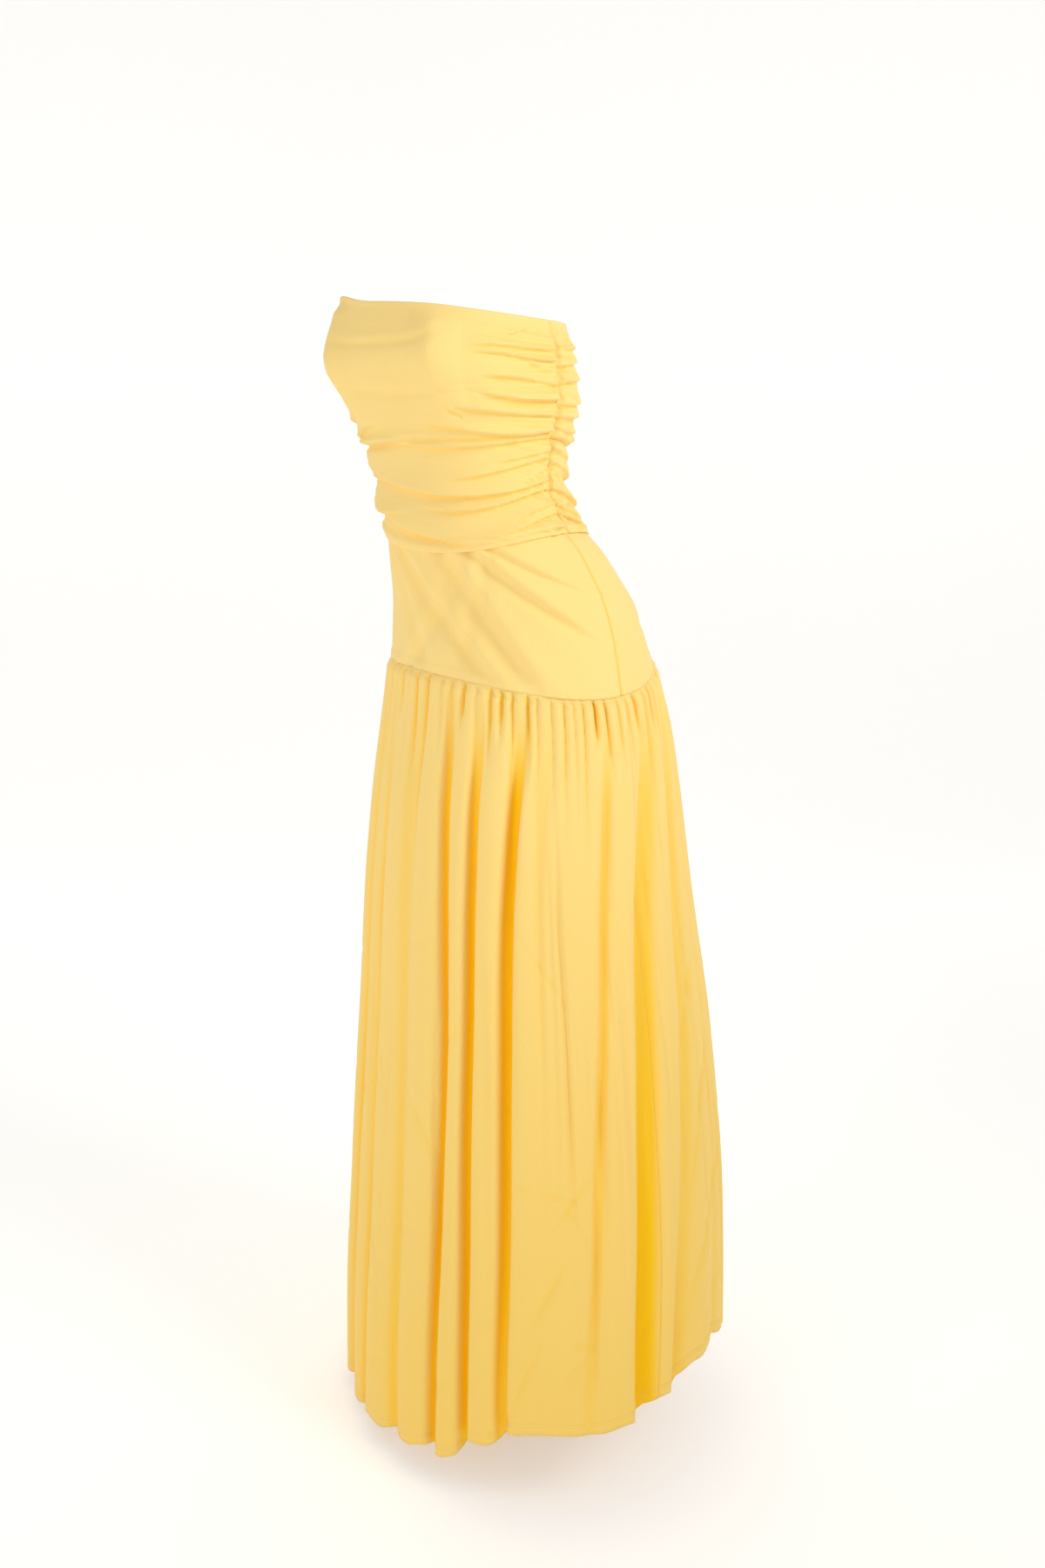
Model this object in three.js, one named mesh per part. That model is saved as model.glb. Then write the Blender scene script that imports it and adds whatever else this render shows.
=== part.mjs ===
// A strapless, drop-waist maxi dress in stretch jersey, as it hangs on its wearer.
//
// Millimetres, +Z up. The origin is the middle of the chest, at the height of the bust points, where
// the wearer's chest holds the dress up. The front faces -Y and the wearer's left side is at +X.
//
// Every panel is a thin wall over one figure. A point of the figure is found from two numbers:
// `turn`, the way round the body (0 right side, 0.25 centre front, 0.5 left side, 0.75 centre back),
// and the height above the origin. Each panel then has its own two numbers, both from 0 to 1:
// `across`, from one side seam to the other, and `down`, from its upper edge to its lower edge.

import * as THREE from "three";

// ---- driving dimensions ---------------------------------------------------------------------------

const WALL = 2; // thickness of a cloth wall
const SEAM_GAP = 0.3; // clear space between two panels where they are sewn together

// Heights of the four edges that run round the dress, at the right side, front, left side and back.
const TOP_EDGE = { right: 66, front: 57, left: 38, back: 46 };
const WAIST_SEAM = { right: -168, front: -198, left: -177, back: -186 };
const DROP_SEAM = { right: -320, front: -334, left: -348, back: -288 };
const HEM = { right: -1256, front: -1242, left: -1146, back: -1168, lobe: 7 };

// How far the side seams sit forward of the widest part of the body, as a share of the girth.
const SEAM_FORWARD = { top: -0.012, waist: -0.004, drop: 0.02, hem: 0.028 };

// Sections of the figure under the cloth, from the top down. The corner number is 2 for an ellipse
// and grows as the section gets squarer.
const FIGURE = [
  { height: 110, halfWidth: 124, front: 92, back: 80, sideways: 0, backward: -4, corner: 2.3 },
  { height: 60, halfWidth: 130, front: 104, back: 86, sideways: 0, backward: 0, corner: 2.4 },
  { height: 0, halfWidth: 140, front: 118, back: 94, sideways: 0, backward: 8, corner: 2.5 },
  { height: -40, halfWidth: 137, front: 110, back: 96, sideways: 3, backward: 14, corner: 2.4 },
  { height: -85, halfWidth: 121, front: 95, back: 90, sideways: 8, backward: 15, corner: 2.2 },
  { height: -125, halfWidth: 113, front: 86, back: 84, sideways: 15, backward: 14, corner: 2.1 },
  { height: -165, halfWidth: 118, front: 90, back: 90, sideways: 23, backward: 18, corner: 2.1 },
  { height: -205, halfWidth: 136, front: 101, back: 103, sideways: 30, backward: 34, corner: 2.1 },
  { height: -270, halfWidth: 157, front: 112, back: 118, sideways: 36, backward: 54, corner: 2.1 },
  { height: -350, halfWidth: 174, front: 122, back: 132, sideways: 40, backward: 62, corner: 2.1 },
  { height: -400, halfWidth: 182, front: 130, back: 143, sideways: 40, backward: 65, corner: 2.1 },
  { height: -480, halfWidth: 190, front: 144, back: 156, sideways: 40, backward: 67, corner: 2.1 },
  { height: -560, halfWidth: 199, front: 152, back: 166, sideways: 40, backward: 68, corner: 2.1 },
  { height: -760, halfWidth: 222, front: 175, back: 189, sideways: 40, backward: 80, corner: 2.1 },
  { height: -960, halfWidth: 240, front: 191, back: 206, sideways: 40, backward: 84, corner: 2.1 },
  { height: -1160, halfWidth: 249, front: 199, back: 214, sideways: 40, backward: 80, corner: 2.1 },
  { height: -1290, halfWidth: 251, front: 202, back: 216, sideways: 40, backward: 80, corner: 2.1 },
];

// Two soft cups in the front panel, and the lift that each gives to the top edge.
const CUP = { fromCentre: 0.088, halfWidth: 0.055, fullness: 10, height: -6, above: 46, below: 30, lift: 6 };

// The side seams are gathered, so folds run from them into the panels. Each row is one groove on a
// panel's left end: how far across it starts, how far down it is there (inner) and at the seam, how
// much it sags between the two, and its depth and half-width in millimetres.
const RUCHES = [
  { reach: 0.88, inner: 0.07, seam: 0.06, sag: 0, depth: 2.2, width: 4.5 },
  { reach: 0.73, inner: 0.18, seam: 0.12, sag: -0.01, depth: 3.2, width: 5 },
  { reach: 0.76, inner: 0.21, seam: 0.19, sag: 0, depth: 2.6, width: 4.5 },
  { reach: 0.86, inner: 0.24, seam: 0.25, sag: 0, depth: 2.8, width: 4.5 },
  { reach: 0.75, inner: 0.29, seam: 0.31, sag: 0, depth: 2.8, width: 5 },
  { reach: 0.72, inner: 0.35, seam: 0.37, sag: 0.01, depth: 3.2, width: 5 },
  { reach: 0.64, inner: 0.41, seam: 0.43, sag: 0.01, depth: 3.6, width: 6 },
  { reach: 0.5, inner: 0.47, seam: 0.495, sag: 0.025, depth: 3.6, width: 6 },
  { reach: 0.42, inner: 0.55, seam: 0.555, sag: 0.02, depth: 3.6, width: 6 },
  { reach: 0.58, inner: 0.71, seam: 0.62, sag: 0.02, depth: 3.2, width: 6 },
  { reach: 0.83, inner: 0.72, seam: 0.68, sag: 0, depth: 2.6, width: 4.5 },
  { reach: 0.44, inner: 0.81, seam: 0.81, sag: 0.035, depth: 3.4, width: 6 },
  { reach: 0.8, inner: 0.88, seam: 0.87, sag: 0.01, depth: 2.6, width: 4.5 },
  { reach: 0.86, inner: 0.94, seam: 0.925, sag: 0, depth: 2.4, width: 4.5 },
];
// No two gathered ends are alike: each end of a panel moves the rows above by small uneven amounts.
const RUCHE_VARIATION = { reach: 0.06, place: 0.012, leastReach: 0.3, mostReach: 0.92 };

// Drape folds that cross a bodice panel from its right end, as far as `to`, towards its left end.
const FRONT_DRAPES = [
  { right: 0.5, left: 0.56, sag: 0.05, depth: 3, width: 7, to: 0.42 },
  { right: 0.62, left: 0.75, sag: 0.07, depth: 6, width: 9, to: 1 },
  { right: 0.86, left: 0.965, sag: 0.03, depth: 6.5, width: 9, to: 1 },
];
const BACK_DRAPES = [
  { right: 0.54, left: 0.48, sag: 0.05, depth: 3.5, width: 8, to: 1 },
  { right: 0.72, left: 0.66, sag: 0.06, depth: 5, width: 9, to: 1 },
  { right: 0.95, left: 0.86, sag: 0.03, depth: 6, width: 9, to: 1 },
];

// Shapes of the folds, in half-widths of the fold: a groove has a soft ridge above it, and a lip
// swells from above and turns in sharply below.
const GROOVE = { ridge: 0.45, ridgeAt: 1.9, ridgeWidth: 1.1 };
const LIP = { sharpness: 5, swell: 2.2, undercut: 0.35, undercutWidth: 1.6 };

// The folds die out in a plain band at the top edge. The last one rolls over the waist seam.
const TOP_BAND = 8;
const ROLL = { bulge: 10, height: 10, tightness: 1.3 };
const SIDE_SEAM_DIP = { depth: 1.5, halfWidth: 6 };

// Small gathers where the skirt is sewn to the yoke, and the long folds they fall into.
const GATHERS = { front: 30, back: 38, depth: 2.6, fullAt: 18, goneAt: 260 };
const LONG_FOLDS = { lift: 9, fullAt: 240, roundness: 0.62 };
// Each row is the groove between two long folds: its turn at the seam, half way down and at the hem,
// and its depth at the same three places.
const GROOVES = [
  { seam: 0.018, middle: 0.02, hem: 0.015, upper: 8, mid: 12, low: 12 },
  { seam: 0.056, middle: 0.062, hem: 0.06, upper: 7, mid: 10, low: 13 },
  { seam: 0.1, middle: 0.104, hem: 0.108, upper: 9, mid: 14, low: 15 },
  { seam: 0.14, middle: 0.146, hem: 0.142, upper: 6, mid: 10, low: 12 },
  { seam: 0.178, middle: 0.188, hem: 0.183, upper: 6, mid: 9, low: 18 },
  { seam: 0.222, middle: 0.232, hem: 0.233, upper: 7, mid: 11, low: 17 },
  { seam: 0.268, middle: 0.275, hem: 0.271, upper: 11, mid: 17, low: 14 },
  { seam: 0.303, middle: 0.3, hem: 0.3, upper: 11, mid: 17, low: 22 },
  { seam: 0.352, middle: 0.334, hem: 0.335, upper: 10, mid: 16, low: 8 },
  { seam: 0.38, middle: 0.368, hem: 0.365, upper: 6, mid: 4, low: 2 },
  { seam: 0.455, middle: 0.422, hem: 0.404, upper: 8, mid: 9, low: 4 },
  { seam: 0.512, middle: 0.462, hem: 0.455, upper: 8, mid: 15, low: 20 },
  { seam: 0.56, middle: 0.515, hem: 0.49, upper: 7, mid: 12, low: 15 },
  { seam: 0.592, middle: 0.56, hem: 0.545, upper: 6, mid: 7, low: 9 },
  { seam: 0.63, middle: 0.606, hem: 0.592, upper: 8, mid: 12, low: 16 },
  { seam: 0.664, middle: 0.65, hem: 0.646, upper: 6, mid: 10, low: 12 },
  { seam: 0.7, middle: 0.69, hem: 0.686, upper: 9, mid: 14, low: 17 },
  { seam: 0.738, middle: 0.735, hem: 0.74, upper: 7, mid: 9, low: 8 },
  { seam: 0.772, middle: 0.776, hem: 0.78, upper: 9, mid: 15, low: 18 },
  { seam: 0.81, middle: 0.816, hem: 0.812, upper: 7, mid: 11, low: 15 },
  { seam: 0.85, middle: 0.862, hem: 0.868, upper: 8, mid: 12, low: 10 },
  { seam: 0.886, middle: 0.9, hem: 0.905, upper: 7, mid: 13, low: 17 },
  { seam: 0.93, middle: 0.942, hem: 0.94, upper: 8, mid: 10, low: 12 },
  { seam: 0.974, middle: 0.982, hem: 0.978, upper: 7, mid: 12, low: 15 },
];

// Rough widths of the panels, which turn small distances into shares of a panel.
const BODICE_WIDTH = { front: 370, back: 330 };
const YOKE_WIDTH = { front: 430, back: 470 };
const SKIRT_WIDTH = { front: 560, back: 690 };

// How finely each wall is divided.
const BODICE_GRID = { across: 24, down: 32, crowding: 0.25 };
const YOKE_ROWS = 4;
const STEPS_PER_GATHER = 2;
// The wall of a skirt panel is divided at two levels into three solids, so that collision pieces can
// follow it closely. The real panel is one length of cloth.
const SKIRT_TIERS = {
  upper: [0, 0.012, 0.03, 0.07, 0.13, 0.2, 0.3],
  middle: [0.3, 0.42, 0.56, 0.7],
  lower: [0.7, 0.85, 1],
};
const SKIRT_HEIGHT = 900; // rough height of a skirt panel, which turns the gap into a share of it

const JERSEY = { color: 0xffe38c, roughness: 0.85, metalness: 0 };

// ---- small helpers --------------------------------------------------------------------------------

const TAU = 2 * Math.PI;
const { lerp, clamp, smoothstep } = THREE.MathUtils;
const bell = (distance) => Math.exp(-distance * distance);

// The value of one column of a table at a height, on a smooth curve that doesn't overshoot its rows.
function readTable(rows, column, height) {
  const last = rows.length - 1;
  let k = 0;
  while (k < last - 1 && height < rows[k + 1].height) k += 1;
  const slope = (i) => (rows[i + 1][column] - rows[i][column]) / (rows[i + 1].height - rows[i].height);
  const bend = (i) => {
    if (i === 0) return slope(0);
    if (i === last) return slope(last - 1);
    const before = slope(i - 1);
    const after = slope(i);
    return before * after <= 0 ? 0 : (2 * before * after) / (before + after);
  };
  const span = rows[k + 1].height - rows[k].height;
  const x = clamp((height - rows[k].height) / span, 0, 1);
  const xx = x * x;
  const xxx = xx * x;
  return (
    (2 * xxx - 3 * xx + 1) * rows[k][column] +
    (xxx - 2 * xx + x) * span * bend(k) +
    (3 * xx - 2 * xxx) * rows[k + 1][column] +
    (xxx - xx) * span * bend(k + 1)
  );
}

// The height of an edge that passes through its four named heights as it goes round the body.
function edgeHeight(edge, turn) {
  const mean = (edge.right + edge.front + edge.left + edge.back) / 4;
  const sideTilt = (edge.right - edge.left) / 2;
  const frontTilt = (edge.front - edge.back) / 2;
  const saddle = (edge.right + edge.left - edge.front - edge.back) / 4;
  const angle = TAU * turn;
  return mean + sideTilt * Math.cos(angle) + frontTilt * Math.sin(angle) + saddle * Math.cos(2 * angle);
}

// A line that runs from one height to another and sags between them. x goes from 0 to 1.
const saggingLine = (from, to, sag, x) => lerp(from, to, x) + sag * 4 * x * (1 - x);

// ---- the figure -----------------------------------------------------------------------------------

// How strongly the two cups are felt at a turn, from 0 to about 1.
function cupsAt(turn) {
  const cup = (middle) => bell((turn - middle) / CUP.halfWidth);
  return cup(0.25 - CUP.fromCentre) + cup(0.25 + CUP.fromCentre);
}

// A point of one section: a squared ellipse with its own depth at the front and at the back.
function figurePoint(turn, height) {
  const angle = TAU * turn;
  const power = 2 / readTable(FIGURE, "corner", height);
  const side = Math.sign(Math.cos(angle)) * Math.abs(Math.cos(angle)) ** power;
  const ahead = Math.sign(Math.sin(angle)) * Math.abs(Math.sin(angle)) ** power;
  const depth = readTable(FIGURE, ahead > 0 ? "front" : "back", height);
  const spread = height > CUP.height ? CUP.above : CUP.below;
  const cup = CUP.fullness * cupsAt(turn) * bell((height - CUP.height) / spread);
  return new THREE.Vector2(
    readTable(FIGURE, "sideways", height) - readTable(FIGURE, "halfWidth", height) * side,
    readTable(FIGURE, "backward", height) - (depth + cup) * ahead,
  );
}

// The level direction straight out of the figure.
function figureNormal(turn, height) {
  const step = 0.001;
  const along = figurePoint(turn + step, height).sub(figurePoint(turn - step, height)).normalize();
  return new THREE.Vector2(along.y, -along.x);
}

// ---- relief of the gathered bodice ----------------------------------------------------------------

// The two kinds of fold, as heights against the distance above the fold's line in half-widths.
const groove = (up) => -bell(up) + GROOVE.ridge * bell((up - GROOVE.ridgeAt) / GROOVE.ridgeWidth);

function lip(up) {
  const over = 1 / (1 + Math.exp(-LIP.sharpness * up));
  return over * bell(up / LIP.swell) - LIP.undercut * (1 - over) * bell(up / LIP.undercutWidth);
}

// The ruches of one gathered end. They are drawn in at their inner ends and stay full to the seam.
function ruchesOn(across, down, panelHeight, variation) {
  let relief = 0;
  RUCHES.forEach((fold, i) => {
    const wander = variation * RUCHE_VARIATION.reach * Math.sin(2.4 * i + variation);
    const start = clamp(fold.reach + wander, RUCHE_VARIATION.leastReach, RUCHE_VARIATION.mostReach);
    const x = (across - start) / (1 - start);
    if (x <= 0) return;
    const shift = variation * RUCHE_VARIATION.place * Math.sin(1.7 * i + 2 * variation);
    const line = saggingLine(fold.inner, fold.seam, fold.sag, x) + shift;
    const up = ((line - down) * panelHeight) / fold.width;
    relief += fold.depth * smoothstep(x, 0, 0.5) * groove(up);
  });
  return relief;
}

function drapesOn(drapes, across, down, panelHeight) {
  let relief = 0;
  for (const fold of drapes) {
    const line = saggingLine(fold.right, fold.left, fold.sag, across);
    const up = ((line - down) * panelHeight) / fold.width;
    const fade = fold.to < 1 ? smoothstep(fold.to - across, 0, 0.2) : 1;
    relief += fold.depth * fade * lip(up);
  }
  return relief;
}

// All that stands out of the figure at a point of a bodice panel.
function bodiceRelief(panel, panelWidth, across, down, panelHeight) {
  const folds =
    ruchesOn(across, down, panelHeight, panel.leftVariation) +
    ruchesOn(1 - across, down, panelHeight, panel.rightVariation) +
    drapesOn(panel.drapes, across, down, panelHeight);
  const awayFromSides = 1 - bell((Math.min(across, 1 - across) * panelWidth) / SIDE_SEAM_DIP.halfWidth);
  const awayFromTop = 1 - bell((down * panelHeight) / TOP_BAND);
  const aboveWaist = ((1 - down) * panelHeight) / ROLL.height;
  const roll = ROLL.bulge * aboveWaist * bell(aboveWaist * ROLL.tightness);
  const free = awayFromTop * Math.min(1, aboveWaist);
  return awayFromSides * (free * folds + roll) - SIDE_SEAM_DIP.depth * (1 - awayFromSides);
}

// ---- relief of the yoke and the skirt -------------------------------------------------------------

function yokeRelief(panelWidth, across) {
  return -SIDE_SEAM_DIP.depth * bell((Math.min(across, 1 - across) * panelWidth) / SIDE_SEAM_DIP.halfWidth);
}

// A groove's turn or depth a share of the way down: a curve through its three places.
function grooveValue(top, middle, bottom, down) {
  return top * (1 - down) * (1 - 2 * down) + 4 * middle * down * (1 - down) + bottom * down * (2 * down - 1);
}

// Between two grooves the cloth rises in a rounded arch. This finds the arch at a turn: its height
// from 0 to 1, and how deep its grooves are there.
function archAt(turn, down) {
  const places = GROOVES.map((groove) => grooveValue(groove.seam, groove.middle, groove.hem, down));
  const depths = GROOVES.map((groove) => grooveValue(groove.upper, groove.mid, groove.low, down));
  const count = GROOVES.length;
  const t = places[0] + ((((turn - places[0]) % 1) + 1) % 1);
  let k = 0;
  while (k < count - 1 && t >= places[k + 1]) k += 1;
  const next = k === count - 1 ? places[0] + 1 : places[k + 1];
  const x = (t - places[k]) / (next - places[k]);
  return {
    arch: Math.sin(Math.PI * x) ** LONG_FOLDS.roundness,
    depth: lerp(depths[k], depths[(k + 1) % count], smoothstep(x, 0, 1)),
  };
}

function skirtRelief(gathers, across, down, panelHeight, turn) {
  const below = down * panelHeight;
  const { arch, depth } = archAt(turn, down);
  const folds = smoothstep(below, 0, LONG_FOLDS.fullAt) * (LONG_FOLDS.lift - depth * (1 - arch));
  const opening = smoothstep(below, 0, GATHERS.fullAt);
  const closing = 1 - smoothstep(below, GATHERS.fullAt, GATHERS.goneAt);
  const waves = GATHERS.depth * (1 - Math.cos(TAU * gathers * across));
  return folds + opening * closing * waves;
}

// ---- panels ---------------------------------------------------------------------------------------

const topEdge = (turn) => edgeHeight(TOP_EDGE, turn) + CUP.lift * cupsAt(turn);
const waistSeam = (turn) => edgeHeight(WAIST_SEAM, turn);
const dropSeam = (turn) => edgeHeight(DROP_SEAM, turn);
const hem = (turn) => edgeHeight(HEM, turn) - HEM.lobe * archAt(turn, 1).arch;

// The three tiers of the dress: the edges of each, and how far forward its side seams start and end.
const BODICE = { upper: topEdge, lower: waistSeam, forward: [SEAM_FORWARD.top, SEAM_FORWARD.waist] };
const YOKE = { upper: waistSeam, lower: dropSeam, forward: [SEAM_FORWARD.waist, SEAM_FORWARD.drop] };
const SKIRT = { upper: dropSeam, lower: hem, forward: [SEAM_FORWARD.drop, SEAM_FORWARD.hem] };

// Where a panel's point lies round the body. A front panel runs from the right side seam to the left
// one, and a back panel runs on from the left seam to the right one.
function turnOf(tier, half, across, down) {
  const forward = lerp(...tier.forward, down);
  return half === "front" ? lerp(forward, 0.5 - forward, across) : lerp(0.5 - forward, 1 + forward, across);
}

// The outer face of a panel at its two numbers: the figure, moved straight out by the relief. It
// also gives the figure's own outward direction there.
function panelFace(tier, half, relief) {
  return (across, down) => {
    const turn = turnOf(tier, half, across, down);
    const upper = tier.upper(turn) - SEAM_GAP / 2;
    const lower = tier.lower(turn) + SEAM_GAP / 2;
    const height = lerp(upper, lower, down);
    const normal = figureNormal(turn, height);
    const out = relief(across, down, upper - lower, turn);
    const { x, y } = figurePoint(turn, height).addScaledVector(normal, out);
    return { point: new THREE.Vector3(x, y, height), normal: new THREE.Vector3(normal.x, normal.y, 0) };
  };
}

// The level direction straight out of a face, folds included.
function levelNormal(face, across, down) {
  const step = 0.001;
  const along = face(across + step, down).point.sub(face(across - step, down).point).setZ(0).normalize();
  return new THREE.Vector3(along.y, -along.x, 0);
}

// A closed wall: the outer face, the same face moved level into the cloth by its thickness, and
// four narrow edges that join them. At its two ends the wall is cut square to the figure, so that
// it meets its neighbour face to face.
function wallGeometry(face, acrossSteps, downSteps) {
  const columns = acrossSteps.length;
  const rows = downSteps.length;
  const positions = [];
  for (const depth of [0, WALL]) {
    for (const down of downSteps) {
      acrossSteps.forEach((across, column) => {
        const { point, normal } = face(across, down);
        const atEnd = column === 0 || column === columns - 1;
        const out = atEnd ? normal : levelNormal(face, across, down);
        point.addScaledVector(out, -depth);
        positions.push(point.x, point.y, point.z);
      });
    }
  }
  const inner = columns * rows;
  const at = (column, row) => row * columns + column;
  const faces = [];
  const quad = (a, b, c, d) => faces.push(a, b, c, a, c, d);
  for (let row = 0; row < rows - 1; row += 1) {
    for (let column = 0; column < columns - 1; column += 1) {
      const corners = [at(column, row), at(column, row + 1), at(column + 1, row + 1), at(column + 1, row)];
      quad(...corners);
      quad(...corners.reverse().map((corner) => corner + inner));
    }
  }
  const rim = (from, to) => quad(from, to, to + inner, from + inner);
  // The lower edge is cut along the same diagonals as the upper one, so that two walls fit closely.
  const lowerRim = (from, to) => quad(from, from + inner, to + inner, to);
  for (let column = 0; column < columns - 1; column += 1) {
    rim(at(column, 0), at(column + 1, 0));
    lowerRim(at(column, rows - 1), at(column + 1, rows - 1));
  }
  for (let row = 0; row < rows - 1; row += 1) {
    rim(at(0, row + 1), at(0, row));
    rim(at(columns - 1, row), at(columns - 1, row + 1));
  }
  const geometry = new THREE.BufferGeometry();
  geometry.setAttribute("position", new THREE.Float32BufferAttribute(positions, 3));
  geometry.setIndex(faces);
  geometry.computeVertexNormals();
  return geometry;
}

// Steps from 0 to 1 that can crowd towards both ends.
function steps(count, crowding = 0) {
  return Array.from({ length: count + 1 }, (_, i) => {
    const x = i / count;
    return x - (crowding * Math.sin(TAU * x)) / TAU;
  });
}

// A panel stops short of each side seam by half of the gap.
function shortOfSeams(acrossSteps, panelWidth) {
  const margin = SEAM_GAP / 2 / panelWidth;
  return acrossSteps.map((across) => lerp(margin, 1 - margin, across));
}

// A tier of rows stops short of its neighbours by half of the gap, but keeps the panel's own edges.
function shortOfTiers(downSteps) {
  const margin = SEAM_GAP / 2 / SKIRT_HEIGHT;
  const first = downSteps[0];
  const last = downSteps[downSteps.length - 1];
  return [
    first === 0 ? first : first + margin,
    ...downSteps.slice(1, -1),
    last === 1 ? last : last - margin,
  ];
}

function makePanel(name, geometry) {
  const panel = new THREE.Mesh(geometry, new THREE.MeshStandardMaterial(JERSEY));
  panel.name = name;
  return panel;
}

// ---- the dress ------------------------------------------------------------------------------------

const BODICE_PANELS = {
  front: { drapes: FRONT_DRAPES, leftVariation: 0, rightVariation: 1 },
  back: { drapes: BACK_DRAPES, leftVariation: 1.6, rightVariation: -1.3 },
};

function bodice(half) {
  const panel = BODICE_PANELS[half];
  const width = BODICE_WIDTH[half];
  const relief = (across, down, height) => bodiceRelief(panel, width, across, down, height);
  const face = panelFace(BODICE, half, relief);
  const acrossSteps = shortOfSeams(steps(BODICE_GRID.across, BODICE_GRID.crowding), width);
  return makePanel(`bodice_${half}`, wallGeometry(face, acrossSteps, steps(BODICE_GRID.down)));
}

function yoke(half) {
  const width = YOKE_WIDTH[half];
  const relief = (across) => yokeRelief(width, across);
  const face = panelFace(YOKE, half, relief);
  const acrossSteps = shortOfSeams(steps(GATHERS[half]), width);
  return makePanel(`yoke_${half}`, wallGeometry(face, acrossSteps, steps(YOKE_ROWS)));
}

function skirt(half) {
  const relief = (across, down, height, turn) => skirtRelief(GATHERS[half], across, down, height, turn);
  const face = panelFace(SKIRT, half, relief);
  const acrossSteps = shortOfSeams(steps(GATHERS[half] * STEPS_PER_GATHER), SKIRT_WIDTH[half]);
  return Object.entries(SKIRT_TIERS).map(([tier, downSteps]) =>
    makePanel(`skirt_${half}_${tier}`, wallGeometry(face, acrossSteps, shortOfTiers(downSteps))),
  );
}

const dress = new THREE.Group();
dress.name = "maxi_dress";
for (const half of ["front", "back"]) dress.add(bodice(half), yoke(half), ...skirt(half));

export default dress;
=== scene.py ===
# %% [markdown]
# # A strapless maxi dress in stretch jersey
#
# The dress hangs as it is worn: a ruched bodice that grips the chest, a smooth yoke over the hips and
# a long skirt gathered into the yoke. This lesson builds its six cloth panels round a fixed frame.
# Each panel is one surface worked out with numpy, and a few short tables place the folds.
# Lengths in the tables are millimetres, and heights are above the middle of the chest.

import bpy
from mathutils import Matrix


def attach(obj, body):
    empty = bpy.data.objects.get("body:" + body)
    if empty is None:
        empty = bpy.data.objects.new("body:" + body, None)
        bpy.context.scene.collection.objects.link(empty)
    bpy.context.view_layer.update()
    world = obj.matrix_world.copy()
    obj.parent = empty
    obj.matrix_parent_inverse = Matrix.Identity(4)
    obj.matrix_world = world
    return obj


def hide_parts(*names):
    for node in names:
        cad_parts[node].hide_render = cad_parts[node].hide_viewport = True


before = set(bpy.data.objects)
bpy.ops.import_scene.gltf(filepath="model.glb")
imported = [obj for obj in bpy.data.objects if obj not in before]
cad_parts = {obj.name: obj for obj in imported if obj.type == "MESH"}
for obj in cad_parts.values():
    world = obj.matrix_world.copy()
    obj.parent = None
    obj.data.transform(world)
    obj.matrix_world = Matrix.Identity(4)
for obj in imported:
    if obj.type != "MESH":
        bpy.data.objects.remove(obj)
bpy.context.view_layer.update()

# %% Libraries and units
import math

import bpy
import numpy as np

MM = 0.001
TAU = 2 * math.pi
random = np.random.default_rng(7)

# %% [markdown]
# ## Camera
#
# The camera stands a little below chest height, 45 degrees round towards the wearer's left side, and
# looks down 12 degrees.

# %% Camera
CAMERA_PLACE = (1.2147, -1.1060, -0.1202)
CAMERA_TURN = 45
CAMERA_LOOKS_DOWN = 12.09
LENS = 33.02

camera_data = bpy.data.cameras.new("camera")
camera_data.lens = LENS
camera_data.sensor_width = 36
camera = bpy.data.objects.new("camera", camera_data)
camera.location = CAMERA_PLACE
camera.rotation_euler = (math.radians(90 - CAMERA_LOOKS_DOWN), 0, math.radians(CAMERA_TURN))
bpy.context.scene.collection.objects.link(camera)
bpy.context.scene.camera = camera
print("camera at", CAMERA_PLACE)

# %% [markdown]
# ## The figure under the cloth
#
# Every panel is draped over one figure. A point of it is found from `turn`, the way round the body
# (0 right side, 0.25 front, 0.5 left side, 0.75 back), and its height. A section is a squared ellipse
# with its own depth in front and behind, and a smooth curve joins the sections of the table.

# %% Sections of the figure
FIGURE_COLUMNS = "height half_width front back sideways backward corner"
FIGURE_ROWS = [
    (110, 124, 92, 80, 0, -4, 2.3),
    (60, 130, 104, 86, 0, 0, 2.4),
    (0, 140, 118, 94, 0, 8, 2.5),
    (-40, 137, 110, 96, 3, 14, 2.4),
    (-85, 121, 95, 90, 8, 15, 2.2),
    (-125, 113, 86, 84, 15, 14, 2.1),
    (-165, 118, 90, 90, 23, 18, 2.1),
    (-205, 136, 101, 103, 30, 34, 2.1),
    (-270, 157, 112, 118, 36, 54, 2.1),
    (-350, 174, 122, 132, 40, 62, 2.1),
    (-400, 182, 130, 143, 40, 65, 2.1),
    (-480, 190, 144, 156, 40, 67, 2.1),
    (-560, 199, 152, 166, 40, 68, 2.1),
    (-760, 222, 175, 189, 40, 80, 2.1),
    (-960, 240, 191, 206, 40, 84, 2.1),
    (-1160, 249, 199, 214, 40, 80, 2.1),
    (-1290, 251, 202, 216, 40, 80, 2.1),
]
CUP = dict(from_centre=0.088, half_width=0.055, fullness=10, height=-6, above=46, below=30)


def table(columns, rows):
    """Names the columns of a list of rows, as a dict of arrays."""
    return dict(zip(columns.split(), np.array(rows, float).T))


FIGURE = table(FIGURE_COLUMNS, FIGURE_ROWS)
print("the figure has", len(FIGURE_ROWS), "sections")

# %% [markdown]
# ### Curves that the shapes share
#
# Three curves do most of the work: a bell for a soft ridge or groove, an ease that starts and ends
# level for a fade, and a straight blend. The sections of the table are joined by a curve that never
# overshoots a row, because a plain spline would swell between two of them.

# %% Curves that the shapes share
def bell(x):
    """One at zero, and e to the minus x squared away from it."""
    return np.exp(-x * x)


def ease(x, start, end):
    """Rises from 0 at start to 1 at end, level at both: 3 x squared minus 2 x cubed."""
    x = np.clip((x - start) / (end - start), 0, 1)
    return x * x * (3 - 2 * x)


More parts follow.
